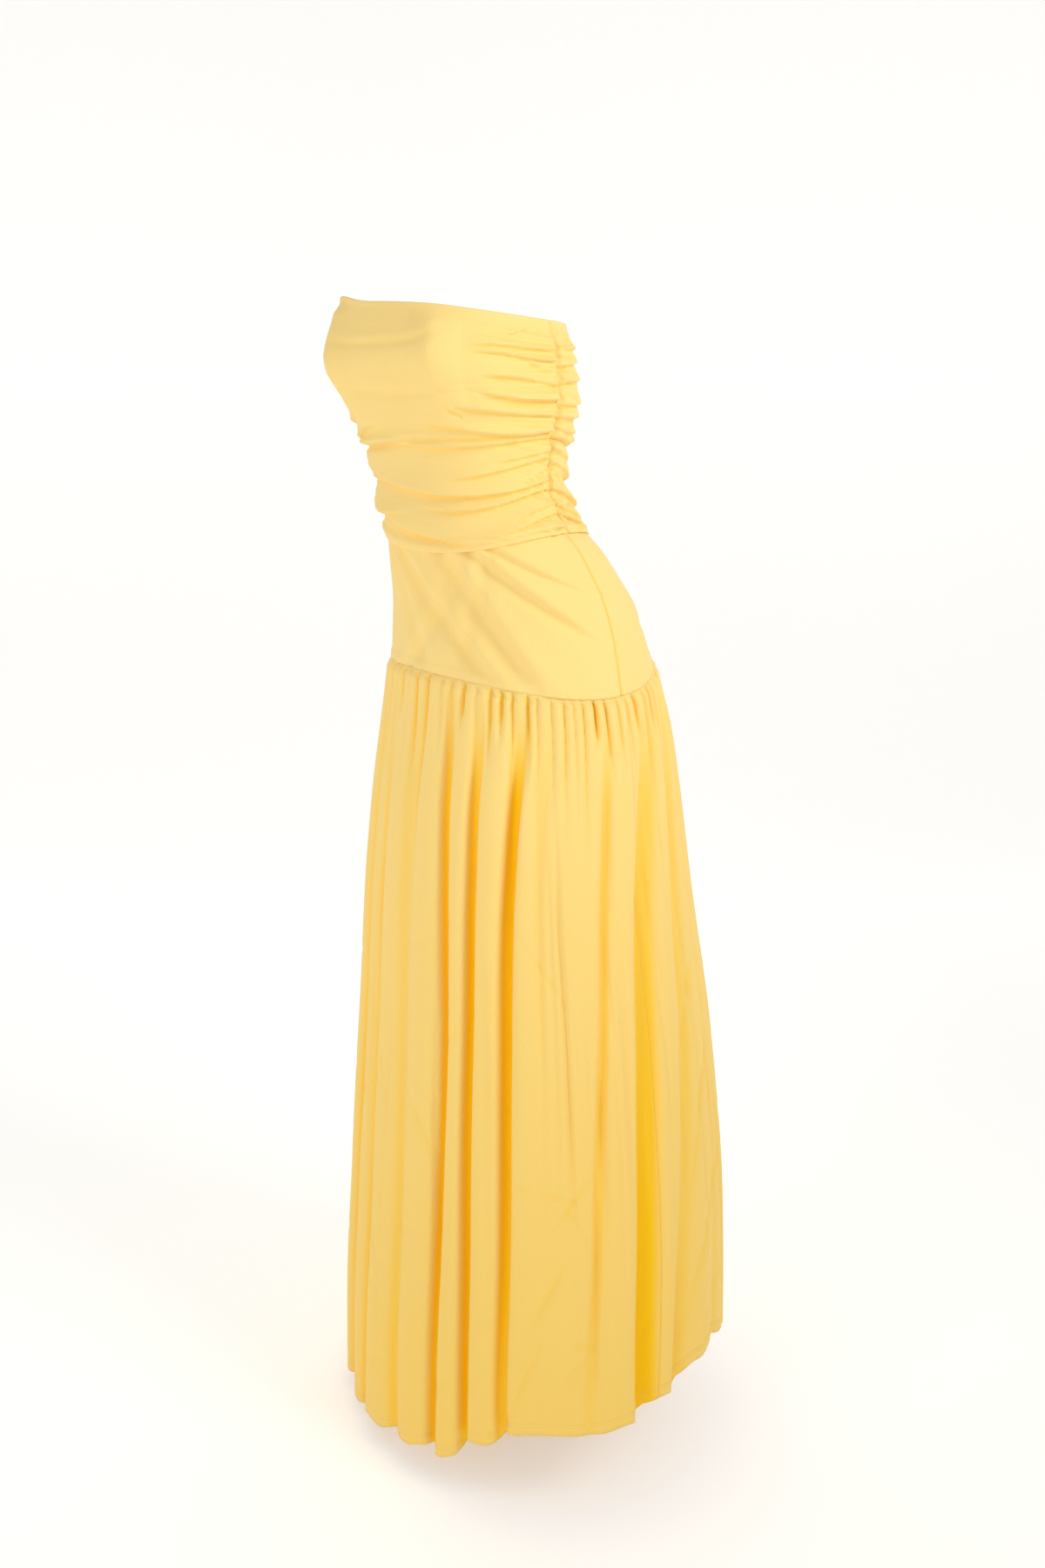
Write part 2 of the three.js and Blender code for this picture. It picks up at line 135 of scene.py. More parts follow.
def blend(a, b, x):
    """a at x = 0 and b at x = 1, in a straight line."""
    return a + (b - a) * x


def section_value(name, height):
    """A column of FIGURE at any height. Each stretch is a cubic whose end slopes are the harmonic
    mean of the slopes on either side, so the curve is smooth and never overshoots a row."""
    h = FIGURE["height"]
    v = FIGURE[name]
    span = np.diff(h)
    slope = np.diff(v) / span
    both = slope[:-1] + slope[1:]
    same_way = slope[:-1] * slope[1:] > 0
    middle = np.where(same_way, 2 * slope[:-1] * slope[1:] / np.where(same_way, both, 1), 0)
    bend = np.concatenate([slope[:1], middle, slope[-1:]])
    k = np.clip(np.searchsorted(-h, -height, side="right") - 1, 0, len(h) - 2)
    x = np.clip((height - h[k]) / span[k], 0, 1)
    start = (2 * x**3 - 3 * x**2 + 1) * v[k] + (x**3 - 2 * x**2 + x) * span[k] * bend[k]
    end = (3 * x**2 - 2 * x**3) * v[k + 1] + (x**3 - x**2) * span[k] * bend[k + 1]
    return start + end


def cup_at(turn, side):
    """How strongly the cup on one side, -1 right or 1 left, is felt at a turn."""
    return bell((turn - 0.25 - side * CUP["from_centre"]) / CUP["half_width"])


def figure_point(turn, height):
    """x and y of the figure: a circle's cosine and sine raised to 2 / corner, times half-sizes."""
    power = 2 / section_value("corner", height)
    side = np.sign(np.cos(TAU * turn)) * np.abs(np.cos(TAU * turn)) ** power
    ahead = np.sign(np.sin(TAU * turn)) * np.abs(np.sin(TAU * turn)) ** power
    depth = np.where(ahead > 0, section_value("front", height), section_value("back", height))
    spread = np.where(height > CUP["height"], CUP["above"], CUP["below"])
    cups = cup_at(turn, -1) + cup_at(turn, 1)
    depth = depth + CUP["fullness"] * cups * bell((height - CUP["height"]) / spread)
    x = section_value("sideways", height) - section_value("half_width", height) * side
    y = section_value("backward", height) - depth * ahead
    return x, y


def outward(turn, height):
    """The level unit direction straight out: a small step along the figure, turned by a quarter."""
    step = 0.001
    x1, y1 = figure_point(turn + step, height)
    x0, y0 = figure_point(turn - step, height)
    size = np.hypot(x1 - x0, y1 - y0)
    return (y1 - y0) / size, -(x1 - x0) / size


def girth(height):
    """About the way round the figure, which turns a share of a turn into millimetres."""
    return 3.3 * (section_value("half_width", height) + section_value("front", height))


print("girth at the bust and the drop seam:", girth(np.array([0.0, -340.0])).round(), "mm")

# %% [markdown]
# ## Edges and seams
#
# Four tilted edges run round the dress: the top edge, the waist seam under the ruching, the drop
# seam over the hips and the hem. Each passes through four heights on its way. The two side seams
# lean forward as they go down. The back panels are cut 2 mm wider at each side and tuck under the
# front ones, so that no seam gapes.

# %% Edges of the panels
TOP_EDGE = dict(right=66, front=57, left=38, back=46)
WAIST_SEAM = dict(right=-168, front=-198, left=-177, back=-186)
DROP_SEAM = dict(right=-320, front=-334, left=-348, back=-288)
HEM = dict(right=-1256, front=-1242, left=-1146, back=-1168)
SEAM_FORWARD = dict(top=-0.012, waist=-0.004, drop=0.02, hem=0.028)
PANEL_WIDTH = dict(
    bodice_front=370, bodice_back=330, yoke_front=430, yoke_back=470, skirt_front=620, skirt_back=720
)
SIDE_TUCK = dict(overlap=2.0, depth=1.0, reach=5.0)


def edge_height(edge, turn):
    """Mean height, plus a tilt to the side, a tilt to the front and a saddle, as cosines of turn."""
    mean = sum(edge.values()) / 4
    side_tilt = (edge["right"] - edge["left"]) / 2
    front_tilt = (edge["front"] - edge["back"]) / 2
    saddle = (edge["right"] + edge["left"] - edge["front"] - edge["back"]) / 4
    angle = TAU * turn
    return mean + side_tilt * np.cos(angle) + front_tilt * np.sin(angle) + saddle * np.cos(2 * angle)


def place_on_panel(tier, half, across, forward):
    """The turn of a point, and its distances in millimetres from the left and the right side seam.
    A front panel runs from the right seam to the left one, and a back panel runs on from there."""
    width = PANEL_WIDTH[f"{tier}_{half}"]
    if half == "front":
        return blend(forward, 0.5 - forward, across), (1 - across) * width, across * width
    tuck = SIDE_TUCK["overlap"] / width
    across = blend(-tuck, 1 + tuck, across)
    return blend(0.5 - forward, 1 + forward, across), across * width, (1 - across) * width


def side_tuck(half, from_left, from_right):
    """How far the edge of a back panel lies under the front one."""
    if half == "front":
        return 0
    return SIDE_TUCK["depth"] * ease(np.minimum(from_left, from_right), SIDE_TUCK["reach"], 0)


print("the front is", TOP_EDGE["front"] - HEM["front"], "mm long")

# %% [markdown]
# ## How a panel becomes a mesh
#
# A panel is a grid of points. Its rows go down and its columns go across, so that every face is wound
# the same way and faces out. A Solidify modifier gives the cloth its thickness inwards. The UV map
# holds metres of cloth, for the knit, and an attribute holds the painted shade of the folds at each point.

# %% Cloth mesh
CLOTH = 1.1


def lift(turn, height, relief):
    """Points of the cloth: the figure, moved straight out by relief."""
    x, y = figure_point(turn, height)
    out_x, out_y = outward(turn, height)
    return np.stack([x + out_x * relief, y + out_y * relief, height], -1)


def lengths(points, axis):
    """How far along its row (axis 1) or its column (axis 0) of a grid each point lies."""
    step = np.linalg.norm(np.diff(points, axis=axis), axis=-1)
    return np.cumsum(np.pad(step, ((1, 0), (0, 0)) if axis == 0 else ((0, 0), (1, 0))), axis=axis)


def cloth_mesh(name, surface, material):
    """Joins a grid of points (rows, columns, xyz in millimetres) with four-sided faces."""
    points, painted_fold_shade = surface
    rows, columns = points.shape[:2]
    number = np.arange(rows * columns).reshape(rows, columns)
    corners = [number[:-1, :-1], number[1:, :-1], number[1:, 1:], number[:-1, 1:]]
    faces = np.stack(corners, -1).reshape(-1, 4)
    mesh = bpy.data.meshes.new(name)
    mesh.from_pydata((points * MM).reshape(-1, 3).tolist(), [], faces.tolist())
    mesh.polygons.foreach_set("use_smooth", np.ones(len(faces), bool))
    uv = np.stack([lengths(points, 1), lengths(points, 0)], -1).reshape(-1, 2) * MM
    mesh.uv_layers.new(name="knit").data.foreach_set("uv", uv[faces.reshape(-1)].reshape(-1))
    # Painted shade of the folds, kept as a point attribute for the colour mix.
    depths = mesh.attributes.new("painted_fold_shade", "FLOAT", "POINT")
    depths.data.foreach_set("value", painted_fold_shade.astype(np.float32).reshape(-1))
    mesh.materials.append(material)
    piece = bpy.data.objects.new(name, mesh)
    bpy.context.scene.collection.objects.link(piece)
    wall = piece.modifiers.new("thickness", "SOLIDIFY")
    wall.thickness = CLOTH * MM
    wall.offset = -1
    print(name, len(faces), "faces")
    return piece


# %% [markdown]
# ## Jersey
#
# Stretch jersey is matt, with a soft glow where light grazes it, so the finish is a rough shader with
# some sheen. Fine knit columns and a soft fuzz give the surface its bump. Light that reaches the
# bottom of a fold has met the yellow several times, so there the colour is turned towards orange as
# painted shade: the painted_fold_shade attribute leads the mix.

# %% Jersey material
PALE_YELLOW = (0.955, 0.71, 0.26, 1)
DEEPER_YELLOW = (0.95, 0.685, 0.235, 1)
# Painted shade: the orange that the colour turns to deep in the folds.
PAINTED_SHADE_YELLOW = (1.0, 0.60, 0.0, 1)
KNIT_COLUMNS_PER_METRE = 1100
WAVES_PER_METRE_AT_SCALE_ONE = 20


def new_material(name):
    """An empty node material, its nodes, its links and its Principled shader."""
    material = bpy.data.materials.new(name)
    material.use_nodes = True
    nodes = material.node_tree.nodes
    return material, nodes, material.node_tree.links, nodes["Principled BSDF"]


def jersey():
    """Colour: a slow noise between two yellows, then painted shade: the painted_fold_shade attribute
    mixes it towards the orange of a shaded fold. Bump: waves along the UV map's columns plus a fine noise."""
    material, nodes, links, shader = new_material("jersey")
    shader.inputs["Roughness"].default_value = 0.85
    shader.inputs["Sheen Weight"].default_value = 0.22
    shader.inputs["Sheen Roughness"].default_value = 0.5
    shader.inputs["Sheen Tint"].default_value = (1, 0.94, 0.75, 1)
    shader.inputs["Specular IOR Level"].default_value = 0.2
    place = nodes.new("ShaderNodeTexCoord")
    cloud = nodes.new("ShaderNodeTexNoise")
    cloud.inputs["Scale"].default_value = 9
    links.new(place.outputs["Object"], cloud.inputs["Vector"])
    dyed = nodes.new("ShaderNodeMix")
    dyed.data_type = "RGBA"
    dyed.inputs["A"].default_value = PALE_YELLOW
    dyed.inputs["B"].default_value = DEEPER_YELLOW
    links.new(cloud.outputs["Fac"], dyed.inputs["Factor"])
    # Painted shade: this attribute turns the colour towards orange deep in the folds.
    depth = nodes.new("ShaderNodeAttribute")
    depth.attribute_name = "painted_fold_shade"
    painted_shade_mix = nodes.new("ShaderNodeMix")
    painted_shade_mix.data_type = "RGBA"
    links.new(dyed.outputs["Result"], painted_shade_mix.inputs["A"])
    painted_shade_mix.inputs["B"].default_value = PAINTED_SHADE_YELLOW
    links.new(depth.outputs["Fac"], painted_shade_mix.inputs["Factor"])
    links.new(painted_shade_mix.outputs["Result"], shader.inputs["Base Color"])
    knit = nodes.new("ShaderNodeTexWave")
    knit.inputs["Scale"].default_value = KNIT_COLUMNS_PER_METRE / WAVES_PER_METRE_AT_SCALE_ONE
    knit.inputs["Distortion"].default_value = 1.5
    links.new(place.outputs["UV"], knit.inputs["Vector"])
    fuzz = nodes.new("ShaderNodeTexNoise")
    fuzz.inputs["Scale"].default_value = 420
    links.new(place.outputs["Object"], fuzz.inputs["Vector"])
    both = nodes.new("ShaderNodeMath")
    links.new(knit.outputs["Fac"], both.inputs[0])
    links.new(fuzz.outputs["Fac"], both.inputs[1])
    bump = nodes.new("ShaderNodeBump")
    bump.inputs["Strength"].default_value = 0.25
    bump.inputs["Distance"].default_value = 0.0003
    links.new(both.outputs["Value"], bump.inputs["Height"])
    links.new(bump.outputs["Normal"], shader.inputs["Normal"])
    return material


JERSEY = jersey()
print("material", JERSEY.name)

# %% [markdown]
# ## Ruched bodice
#
# The bodice is cut much taller than it shows and gathered into both side seams. So folds run from the
# seams into the front, sharp at the seam and lost towards the middle, and two of them cross the whole
# waist. Each fold is a row here: the points that its line passes, as turn and height, then its depth,
# its half-width and its kind. A lip stands over the line below it, as a fold does that drops over
# itself. A step is a wider lip, and a dent is a soft groove. The other seams repeat the rows, moved
# and weakened a little, because no two gathered seams are alike.

# %% Folds of the bodice
LEFT_FOLDS = [
    (((0.423, 17), (0.457, 22), (0.486, 29), (0.527, 34)), 1.6, 3.2, "lip"),
    (((0.470, 20), (0.492, 25), (0.545, 38)), 1.3, 2.6, "dent"),
    (((0.369, 5), (0.400, 9), (0.445, 8), (0.521, 10)), 2.2, 3.4, "lip"),
    (((0.375, 0), (0.417, 2), (0.463, -2), (0.517, -3)), 2.9, 3.4, "lip"),
    (((0.462, -7), (0.485, -13), (0.512, -21)), 1.6, 2.6, "dent"),
    (((0.385, -21), (0.436, -22), (0.505, -28)), 2.4, 3.8, "lip"),
    (((0.375, -35), (0.427, -42), (0.505, -43)), 3.0, 4.0, "lip"),
    (((0.405, -48), (0.450, -48), (0.506, -46)), 1.3, 2.6, "dent"),
    (((0.330, -49), (0.384, -55), (0.430, -58), (0.508, -58)), 3.1, 4.0, "lip"),
    (((0.332, -53), (0.342, -57), (0.353, -61)), 1.3, 2.4, "dent"),
    (((0.267, -64), (0.337, -72), (0.384, -77), (0.518, -71)), 3.4, 4.4, "lip"),
    (((0.215, -79), (0.290, -84), (0.403, -83), (0.529, -75)), 2.0, 3.4, "dent"),
    (((0.195, -80), (0.284, -90), (0.352, -91), (0.436, -86), (0.528, -80)), 3.6, 4.4, "lip"),
    (((0.385, -109), (0.430, -104), (0.476, -98), (0.532, -90)), 2.2, 4.0, "lip"),
    (((0.299, -124), (0.392, -118), (0.484, -104), (0.545, -97)), 3.0, 5.5, "lip"),
    (((0.430, -134), (0.470, -124), (0.540, -103)), 2.0, 3.6, "dent"),
    (((0.243, -151), (0.295, -156), (0.345, -156), (0.405, -149), (0.535, -135)), 3.6, 5.0, "lip"),
    (((0.400, -170), (0.450, -158), (0.540, -141)), 2.1, 4.0, "lip"),
    (((0.427, -172), (0.480, -160), (0.535, -150)), 2.0, 3.4, "dent"),
    (((0.314, -187), (0.360, -184), (0.449, -168), (0.536, -153)), 2.8, 4.2, "lip"),
    (((0.361, -191), (0.426, -183), (0.520, -168)), 2.3, 3.6, "lip"),
]
BUST_FOLDS = [
    (((0.150, 26), (0.181, 20), (0.240, 15), (0.301, 15), (0.330, 18)), 0.9, 4.5, "dent"),
    (((0.170, -26), (0.198, -30), (0.260, -36), (0.330, -38)), 0.9, 5.0, "dent"),
]
UPPER_CROSSING = (
    (-0.1, -56), (0.0, -78), (0.12, -108), (0.21, -131), (0.30, -141), (0.39, -139), (0.51, -122),
)
LOWER_CROSSING = (
    (-0.1, -96), (0.0, -120), (0.12, -147), (0.18, -169), (0.25, -184), (0.36, -191), (0.51, -169),
)
CROSSING_FOLDS = [(UPPER_CROSSING, 4.2, 5.5, "step"), (LOWER_CROSSING, 4.6, 5.5, "step")]
BACK_CROSSING_FOLDS = [
    (((0.50, -70), (0.62, -84), (0.75, -92), (0.90, -84), (1.00, -66)), 3.0, 5.0, "lip"),
    (((0.50, -108), (0.62, -124), (0.75, -131), (0.90, -120), (1.00, -100)), 3.6, 5.5, "step"),
    (((0.50, -140), (0.62, -158), (0.75, -166), (0.90, -156), (1.00, -132)), 4.2, 5.5, "step"),
]
print(len(LEFT_FOLDS), "folds run from the left seam and", len(CROSSING_FOLDS), "cross the front")

# %% Height of the folds
LIP_SHARPNESS = 14
FOLD_STRENGTH = 1.45
BELL_REACH = dict(lip=2.2, step=5.0)
FULL_DEPTH_AT = 0.35
GONE_AT = 1.12


def fold_profile(kind, up):
    """Height of a fold against the distance above its line in half-widths. A lip is a steep S times
    a bell, with a shallow trough under it, and a step has a much wider bell, so that it laps over
    the cloth below like a shingle. A dent is a bell with a low ridge above it."""
    if kind == "dent":
        return -bell(up) + 0.45 * bell((up - 1.9) / 1.1)
    over = 1 / (1 + np.exp(-np.clip(LIP_SHARPNESS * up, -40, 40)))
    return over * bell(up / BELL_REACH[kind]) - 0.4 * (1 - over) * bell(up / 1.6)


def fold_relief(folds, turn, height, shift=0):
    """Sum of the folds. A fold's line is a low polynomial through its points. The fold comes in over
    the first third of its length and keeps its depth to its last point. A shift moves each fold up or
    down by its own share, and weakens it a little."""
    relief = np.zeros_like(turn)
    for number, (path, depth, width, kind) in enumerate(folds):
        turns, heights = np.array(path, float).T
        curve = np.polyfit(turns, heights, min(len(path) - 1, 4))
        line = np.polyval(curve, np.clip(turn, turns[0], turns[-1]))
        line += shift * math.sin(2.3 * number + shift)
        x = (turn - turns[0]) / (turns[-1] - turns[0])
        strength = ease(x, 0, FULL_DEPTH_AT) * (1 - ease(x, 1.0, GONE_AT))
        if shift:
            strength = strength * (0.9 + 0.2 * math.sin(1.9 * number + shift))
        relief += FOLD_STRENGTH * depth * strength * fold_profile(kind, (height - line) / width)
    return relief


crossing_height = fold_relief(CROSSING_FOLDS, np.array([0.25]), np.array([-182.0]))
print("the lower crossing fold stands", crossing_height.round(1), "mm proud at the front")

# %% [markdown]
# ### Ruching at the side seams
#
# Right at the seams the gathered cloth stands in puffs, about 12 mm apart in front and 14 mm behind,
# with finer creases between them. Each puff has its own size and reach, and its crease follows the
# slope of the folds near it.

# %% Ruching
SEAM_SLOPE_HEIGHTS = [-190, -165, -140, -105, -88, -72, -45, -25, -5, 20, 60]
SEAM_SLOPES = [0.30, 0.26, 0.24, 0.24, 0.14, 0.05, -0.03, -0.07, 0.0, 0.12, 0.22]
RUCHING = {
    "front": [dict(pitch=12.0, depth=2.5, reach=18), dict(pitch=5.2, depth=2.1, reach=38)],
    "back": [dict(pitch=14.0, depth=4.6, reach=17), dict(pitch=6.1, depth=1.4, reach=24)],
}
PUFF_SHARE_AT_SEAM = 0.15
DEEPEST_TUCK = 4.6


def ruching(height, from_seam, half, seed):
    """Puffs at one seam: the power 0.7 of a sine is full between its zeros and tight at them. Gives
    the relief, and how deep in a tuck each point lies."""
    level = height - from_seam * np.interp(height, SEAM_SLOPE_HEIGHTS, SEAM_SLOPES)
    relief = np.zeros_like(height)
    tuck = np.zeros_like(height)
    for row in RUCHING[half]:
        phase = level / row["pitch"] + 0.4 * np.sin(level / 29 + seed)
        own = 0.75 + 0.45 * np.sin(2.7 * np.floor(phase) + 1.3 * seed + row["pitch"])
        arch = np.abs(np.sin(math.pi * phase)) ** 0.7
        fade = np.exp(-from_seam / (row["reach"] * (0.4 + own)))
        relief += row["depth"] * own * arch * fade
        tuck = np.maximum(tuck, (1 - arch) ** 2 * fade * row["depth"] / DEEPEST_TUCK)
    return relief * blend(PUFF_SHARE_AT_SEAM, 1, ease(from_seam, 0, 6)), tuck


print("puffs on each seam:", {half: [row["pitch"] for row in rows] for half, rows in RUCHING.items()}, "mm")

# %% Larger forms of the bodice
BODICE_GIRTH = 800
BUST_EDGE = dict(turn=0.335, lean=0.00022, slope=0.2, soft=3.5, reach=36, below=-62)
PUFFED_LOOP = dict(turn=0.566, height=-160, half_width=30, half_height=10, swell=5)
SLACK = dict(turn=0.09, half_width=0.10, height=-125, half_height=60, swell=3.5)


def bust_edge(turn, height):
    """The soft upright edge where the flat front turns to the side, like the eaves of a low roof: the
    slope times the distance within reach of its line, rounded at the line, on both sides."""
    relief = 0
    for side in (-1, 1):
        line = 0.25 + side * (BUST_EDGE["turn"] - 0.25 + BUST_EDGE["lean"] * np.minimum(height, 20))
        away = (turn - line) * BODICE_GIRTH
        roof = BUST_EDGE["slope"] * (BUST_EDGE["reach"] - np.hypot(away, BUST_EDGE["soft"]))
        window = ease(height, BUST_EDGE["below"] - 20, BUST_EDGE["below"] + 25)
        relief = relief + np.maximum(roof, 0) * ease(roof, 0, 2) * window
    return relief


def puffed_loop(turn, height):
    """A loop of cloth that bulges behind the left seam at the waist: a round cap."""
    x = (turn - PUFFED_LOOP["turn"]) * BODICE_GIRTH / PUFFED_LOOP["half_width"]
    y = (height - PUFFED_LOOP["height"]) / PUFFED_LOOP["half_height"]
    return PUFFED_LOOP["swell"] * np.sqrt(np.maximum(1 - x * x - y * y, 0))


def slack(turn, height):
    """The slack of the crossing folds, which swells the front right of the waist: two bells."""
    x = (turn - SLACK["turn"]) / SLACK["half_width"]
    return SLACK["swell"] * bell(x) * bell((height - SLACK["height"]) / SLACK["half_height"])


print("the puffed loop is", 2 * PUFFED_LOOP["half_width"], "mm wide")

# %% Bodice surface
BODICE_GRID = dict(across=200, down=175)
CROWDING_AT_SEAMS = 0.3
CUP_LIFT = {-1: 6, 1: 1}
SEAM_WANDER = dict(size=0.0013, pitch=11.5, top=50, bottom=-185)
SIDE_SEAM_DIP = dict(depth=1.3, half_width=2.2)
FOLD_SHARE_AT_SEAM = 0.4
FOLD_FADE = dict(waist=8, seam=7)
TOP_BAND = dict(start=3, end=20, swell=0.8, turned_in=7)
WAIST_ROLL = dict(swell=3.4, start=14, end=4, radius=3.0, rows=8, half_turns=0.9)
# Painted shade in the bodice's creases and in the tucks of the ruching.
HOLLOW_FULLY_SHADED_AT = 0.8
BODICE_PAINTED_SHADE = dict(hollow=0.3, tuck=0.45)


def bodice_folds(half, turn, height):
    """The sum of the folds from both seams, those that cross the panel, and the larger forms."""
    if half == "front":
        folds = fold_relief(LEFT_FOLDS + BUST_FOLDS + CROSSING_FOLDS, turn, height)
        folds += fold_relief(LEFT_FOLDS, 0.5 - turn, height, shift=5)
        return folds + (bust_edge(turn, height) + slack(turn, height))
    folds = fold_relief(LEFT_FOLDS, 1.01 - turn, height, shift=4)
    folds += fold_relief(LEFT_FOLDS, turn - 0.5, height, shift=7)
    return folds + (fold_relief(BACK_CROSSING_FOLDS, turn, height) + puffed_loop(turn, height))


def bodice(half):
    """The figure from the top edge to the waist, moved out by folds and puffs that fade at the top
    band, the waist and the seams. The last rows go round a small circle, which rolls the gathered
    cloth under itself. The painted shade lies in the creases, where the relief curves upwards, and in
    the tucks of the ruching."""
    columns = np.linspace(0, 1, BODICE_GRID["across"] + 1)
    columns = columns - CROWDING_AT_SEAMS * np.sin(TAU * columns) / TAU
    across, down = np.meshgrid(columns, np.linspace(0, 1, BODICE_GRID["down"] + 1))
    rough_height = blend(SEAM_WANDER["top"], SEAM_WANDER["bottom"], down)
    wander = SEAM_WANDER["size"] * np.sin(TAU * rough_height / SEAM_WANDER["pitch"])
    forward = blend(SEAM_FORWARD["top"], SEAM_FORWARD["waist"], down) + wander
    turn, from_left, from_right = place_on_panel("bodice", half, across, forward)
    upper = edge_height(TOP_EDGE, turn) + sum(CUP_LIFT[side] * cup_at(turn, side) for side in (-1, 1))
    lower = edge_height(WAIST_SEAM, turn)
    height = blend(upper, lower, down)
    folds = bodice_folds(half, turn, height)
    left_puffs, left_tucks = ruching(height, from_left, half, 0)
    right_puffs, right_tucks = ruching(height, from_right, half, 2)
    seam = np.minimum(from_left, from_right)
    below_top = upper - height
    above_waist = height - lower
    free = ease(below_top, TOP_BAND["start"], TOP_BAND["end"])
    at_waist = ease(above_waist, 0, FOLD_FADE["waist"])
    folds = folds * at_waist * blend(FOLD_SHARE_AT_SEAM, 1, ease(seam, 0, FOLD_FADE["seam"]))
    relief = free * (folds + left_puffs + right_puffs)
    relief += WAIST_ROLL["swell"] * ease(above_waist, WAIST_ROLL["start"], WAIST_ROLL["end"])
    relief += TOP_BAND["swell"] * ease(below_top, TOP_BAND["turned_in"], 0)
    relief -= SIDE_SEAM_DIP["depth"] * bell(seam / SIDE_SEAM_DIP["half_width"])
    relief -= side_tuck(half, from_left, from_right)
    points = lift(turn, height, relief)
    angle = np.linspace(0, math.pi * WAIST_ROLL["half_turns"], WAIST_ROLL["rows"] + 1)[1:, None]
    radius = WAIST_ROLL["radius"]
    bottom = height[-1] - radius * np.sin(angle)
    rolled_under = lift(turn[-1] + 0 * angle, bottom, relief[-1] - radius * (1 - np.cos(angle)))
    # Painted shade: the creases, where the relief curves upwards, and the tucks.
    hollow = np.gradient(np.gradient(relief, axis=0), axis=0)
    creases = BODICE_PAINTED_SHADE["hollow"] * np.clip(hollow / HOLLOW_FULLY_SHADED_AT, 0, 1) * at_waist
    painted_fold_shade = free * np.maximum(creases, BODICE_PAINTED_SHADE["tuck"] * np.maximum(left_tucks, right_tucks))
    return np.concatenate([points, rolled_under]), np.concatenate([painted_fold_shade, painted_fold_shade[-1] + 0 * angle])


bodice_front = cloth_mesh("jersey_bodice_front", bodice("front"), JERSEY)
bodice_back = cloth_mesh("jersey_bodice_back", bodice("back"), JERSEY)

# %% [markdown]
# ## Hip yoke
#
# The yoke is smooth and stretched. It shows the body's curve and a few soft drag lines that fan from
# the waist down towards the left hip. Its lower edge is sewn to the gathers, and the seam allowance
# behind it shows as a low ridge with tiny puckers.

# %% Yoke surface
YOKE_GRID = dict(across=170, down=64)
DRAG_LINES = [
    (((0.150, -200), (0.172, -225), (0.206, -286), (0.223, -325)), 4.8, 0.011),
    (((0.190, -198), (0.247, -265), (0.277, -298), (0.306, -332)), 6.4, 0.014),
    (((0.268, -196), (0.311, -266), (0.336, -309), (0.360, -340)), 6.4, 0.015),
    (((0.315, -196), (0.353, -230), (0.389, -254), (0.450, -292)), 5.0, 0.014),
    (((0.350, -194), (0.380, -211), (0.411, -223), (0.470, -245)), 3.4, 0.012),
]
ALLOWANCE = dict(top=13, shoulder=8, height=0.9)
PUCKERS = dict(depth=0.8, reach=9, per_turn=78)
# The last value is the painted shade in the dip of the side seams.
YOKE_SEAM_DIP = dict(depth=1.1, half_width=1.5, painted_shade=0.6)
RIGHT_DRAG_SHARE = 0.5
BACK_DRAG = dict(share=0.55, mirrored_about=1.02)
SEAM_TUCK = 2.0


def drag_relief(lines, turn, height):
    """Soft troughs that cross the yoke: a bell of the distance round the body from each line, with a
    low swell beside it."""
    relief = np.zeros_like(turn)
    for path, depth, width in lines:
        turns, heights = np.array(path, float).T
        line = np.polyval(np.polyfit(heights, turns, 2), height)
        lower_fade = ease(height, heights[-1] - 20, heights[-1] + 25)
        upper_fade = 1 - ease(height, heights[0] - 10, heights[0] + 25)
        away = (turn - line) / width
        relief -= depth * lower_fade * upper_fade * (bell(away) - 0.6 * bell((away - 1.7) / 1.2))
    return relief


def yoke(half):
    """The figure from the waist to the drop seam, moved out by the drag lines and the allowance, with
    puckers that fade above the seam. The side seams are a thin dip, with painted shade laid in it."""
    columns = np.linspace(0, 1, YOKE_GRID["across"] + 1)
    across, down = np.meshgrid(columns, np.linspace(0, 1, YOKE_GRID["down"] + 1))
    forward = blend(SEAM_FORWARD["waist"], SEAM_FORWARD["drop"], down)
    turn, from_left, from_right = place_on_panel("yoke", half, across, forward)
    upper = edge_height(WAIST_SEAM, turn) + SEAM_TUCK
    lower = edge_height(DROP_SEAM, turn)
    height = blend(upper, lower, down)
    if half == "front":
        relief = drag_relief(DRAG_LINES, turn, height)
        relief += RIGHT_DRAG_SHARE * drag_relief(DRAG_LINES[:2], 0.5 - turn, height)
    else:
        mirrored = BACK_DRAG["mirrored_about"] - turn
        relief = BACK_DRAG["share"] * drag_relief(DRAG_LINES[:4], mirrored, height)
    above = height - lower
    relief += ALLOWANCE["height"] * ease(above, ALLOWANCE["top"], ALLOWANCE["shoulder"])
    pucker = np.abs(np.sin(math.pi * PUCKERS["per_turn"] * turn + 2 * np.sin(TAU * 4 * turn)))
    relief -= PUCKERS["depth"] * (1 - pucker) * np.exp(-above / PUCKERS["reach"])
    seam = np.minimum(from_left, from_right)
    dip = bell(seam / YOKE_SEAM_DIP["half_width"])
    relief -= YOKE_SEAM_DIP["depth"] * dip + side_tuck(half, from_left, from_right)
    # Painted shade in the dip of the side seams.
    return lift(turn, height, relief), YOKE_SEAM_DIP["painted_shade"] * dip


yoke_front = cloth_mesh("jersey_yoke_front", yoke("front"), JERSEY)
yoke_back = cloth_mesh("jersey_yoke_back", yoke("back"), JERSEY)
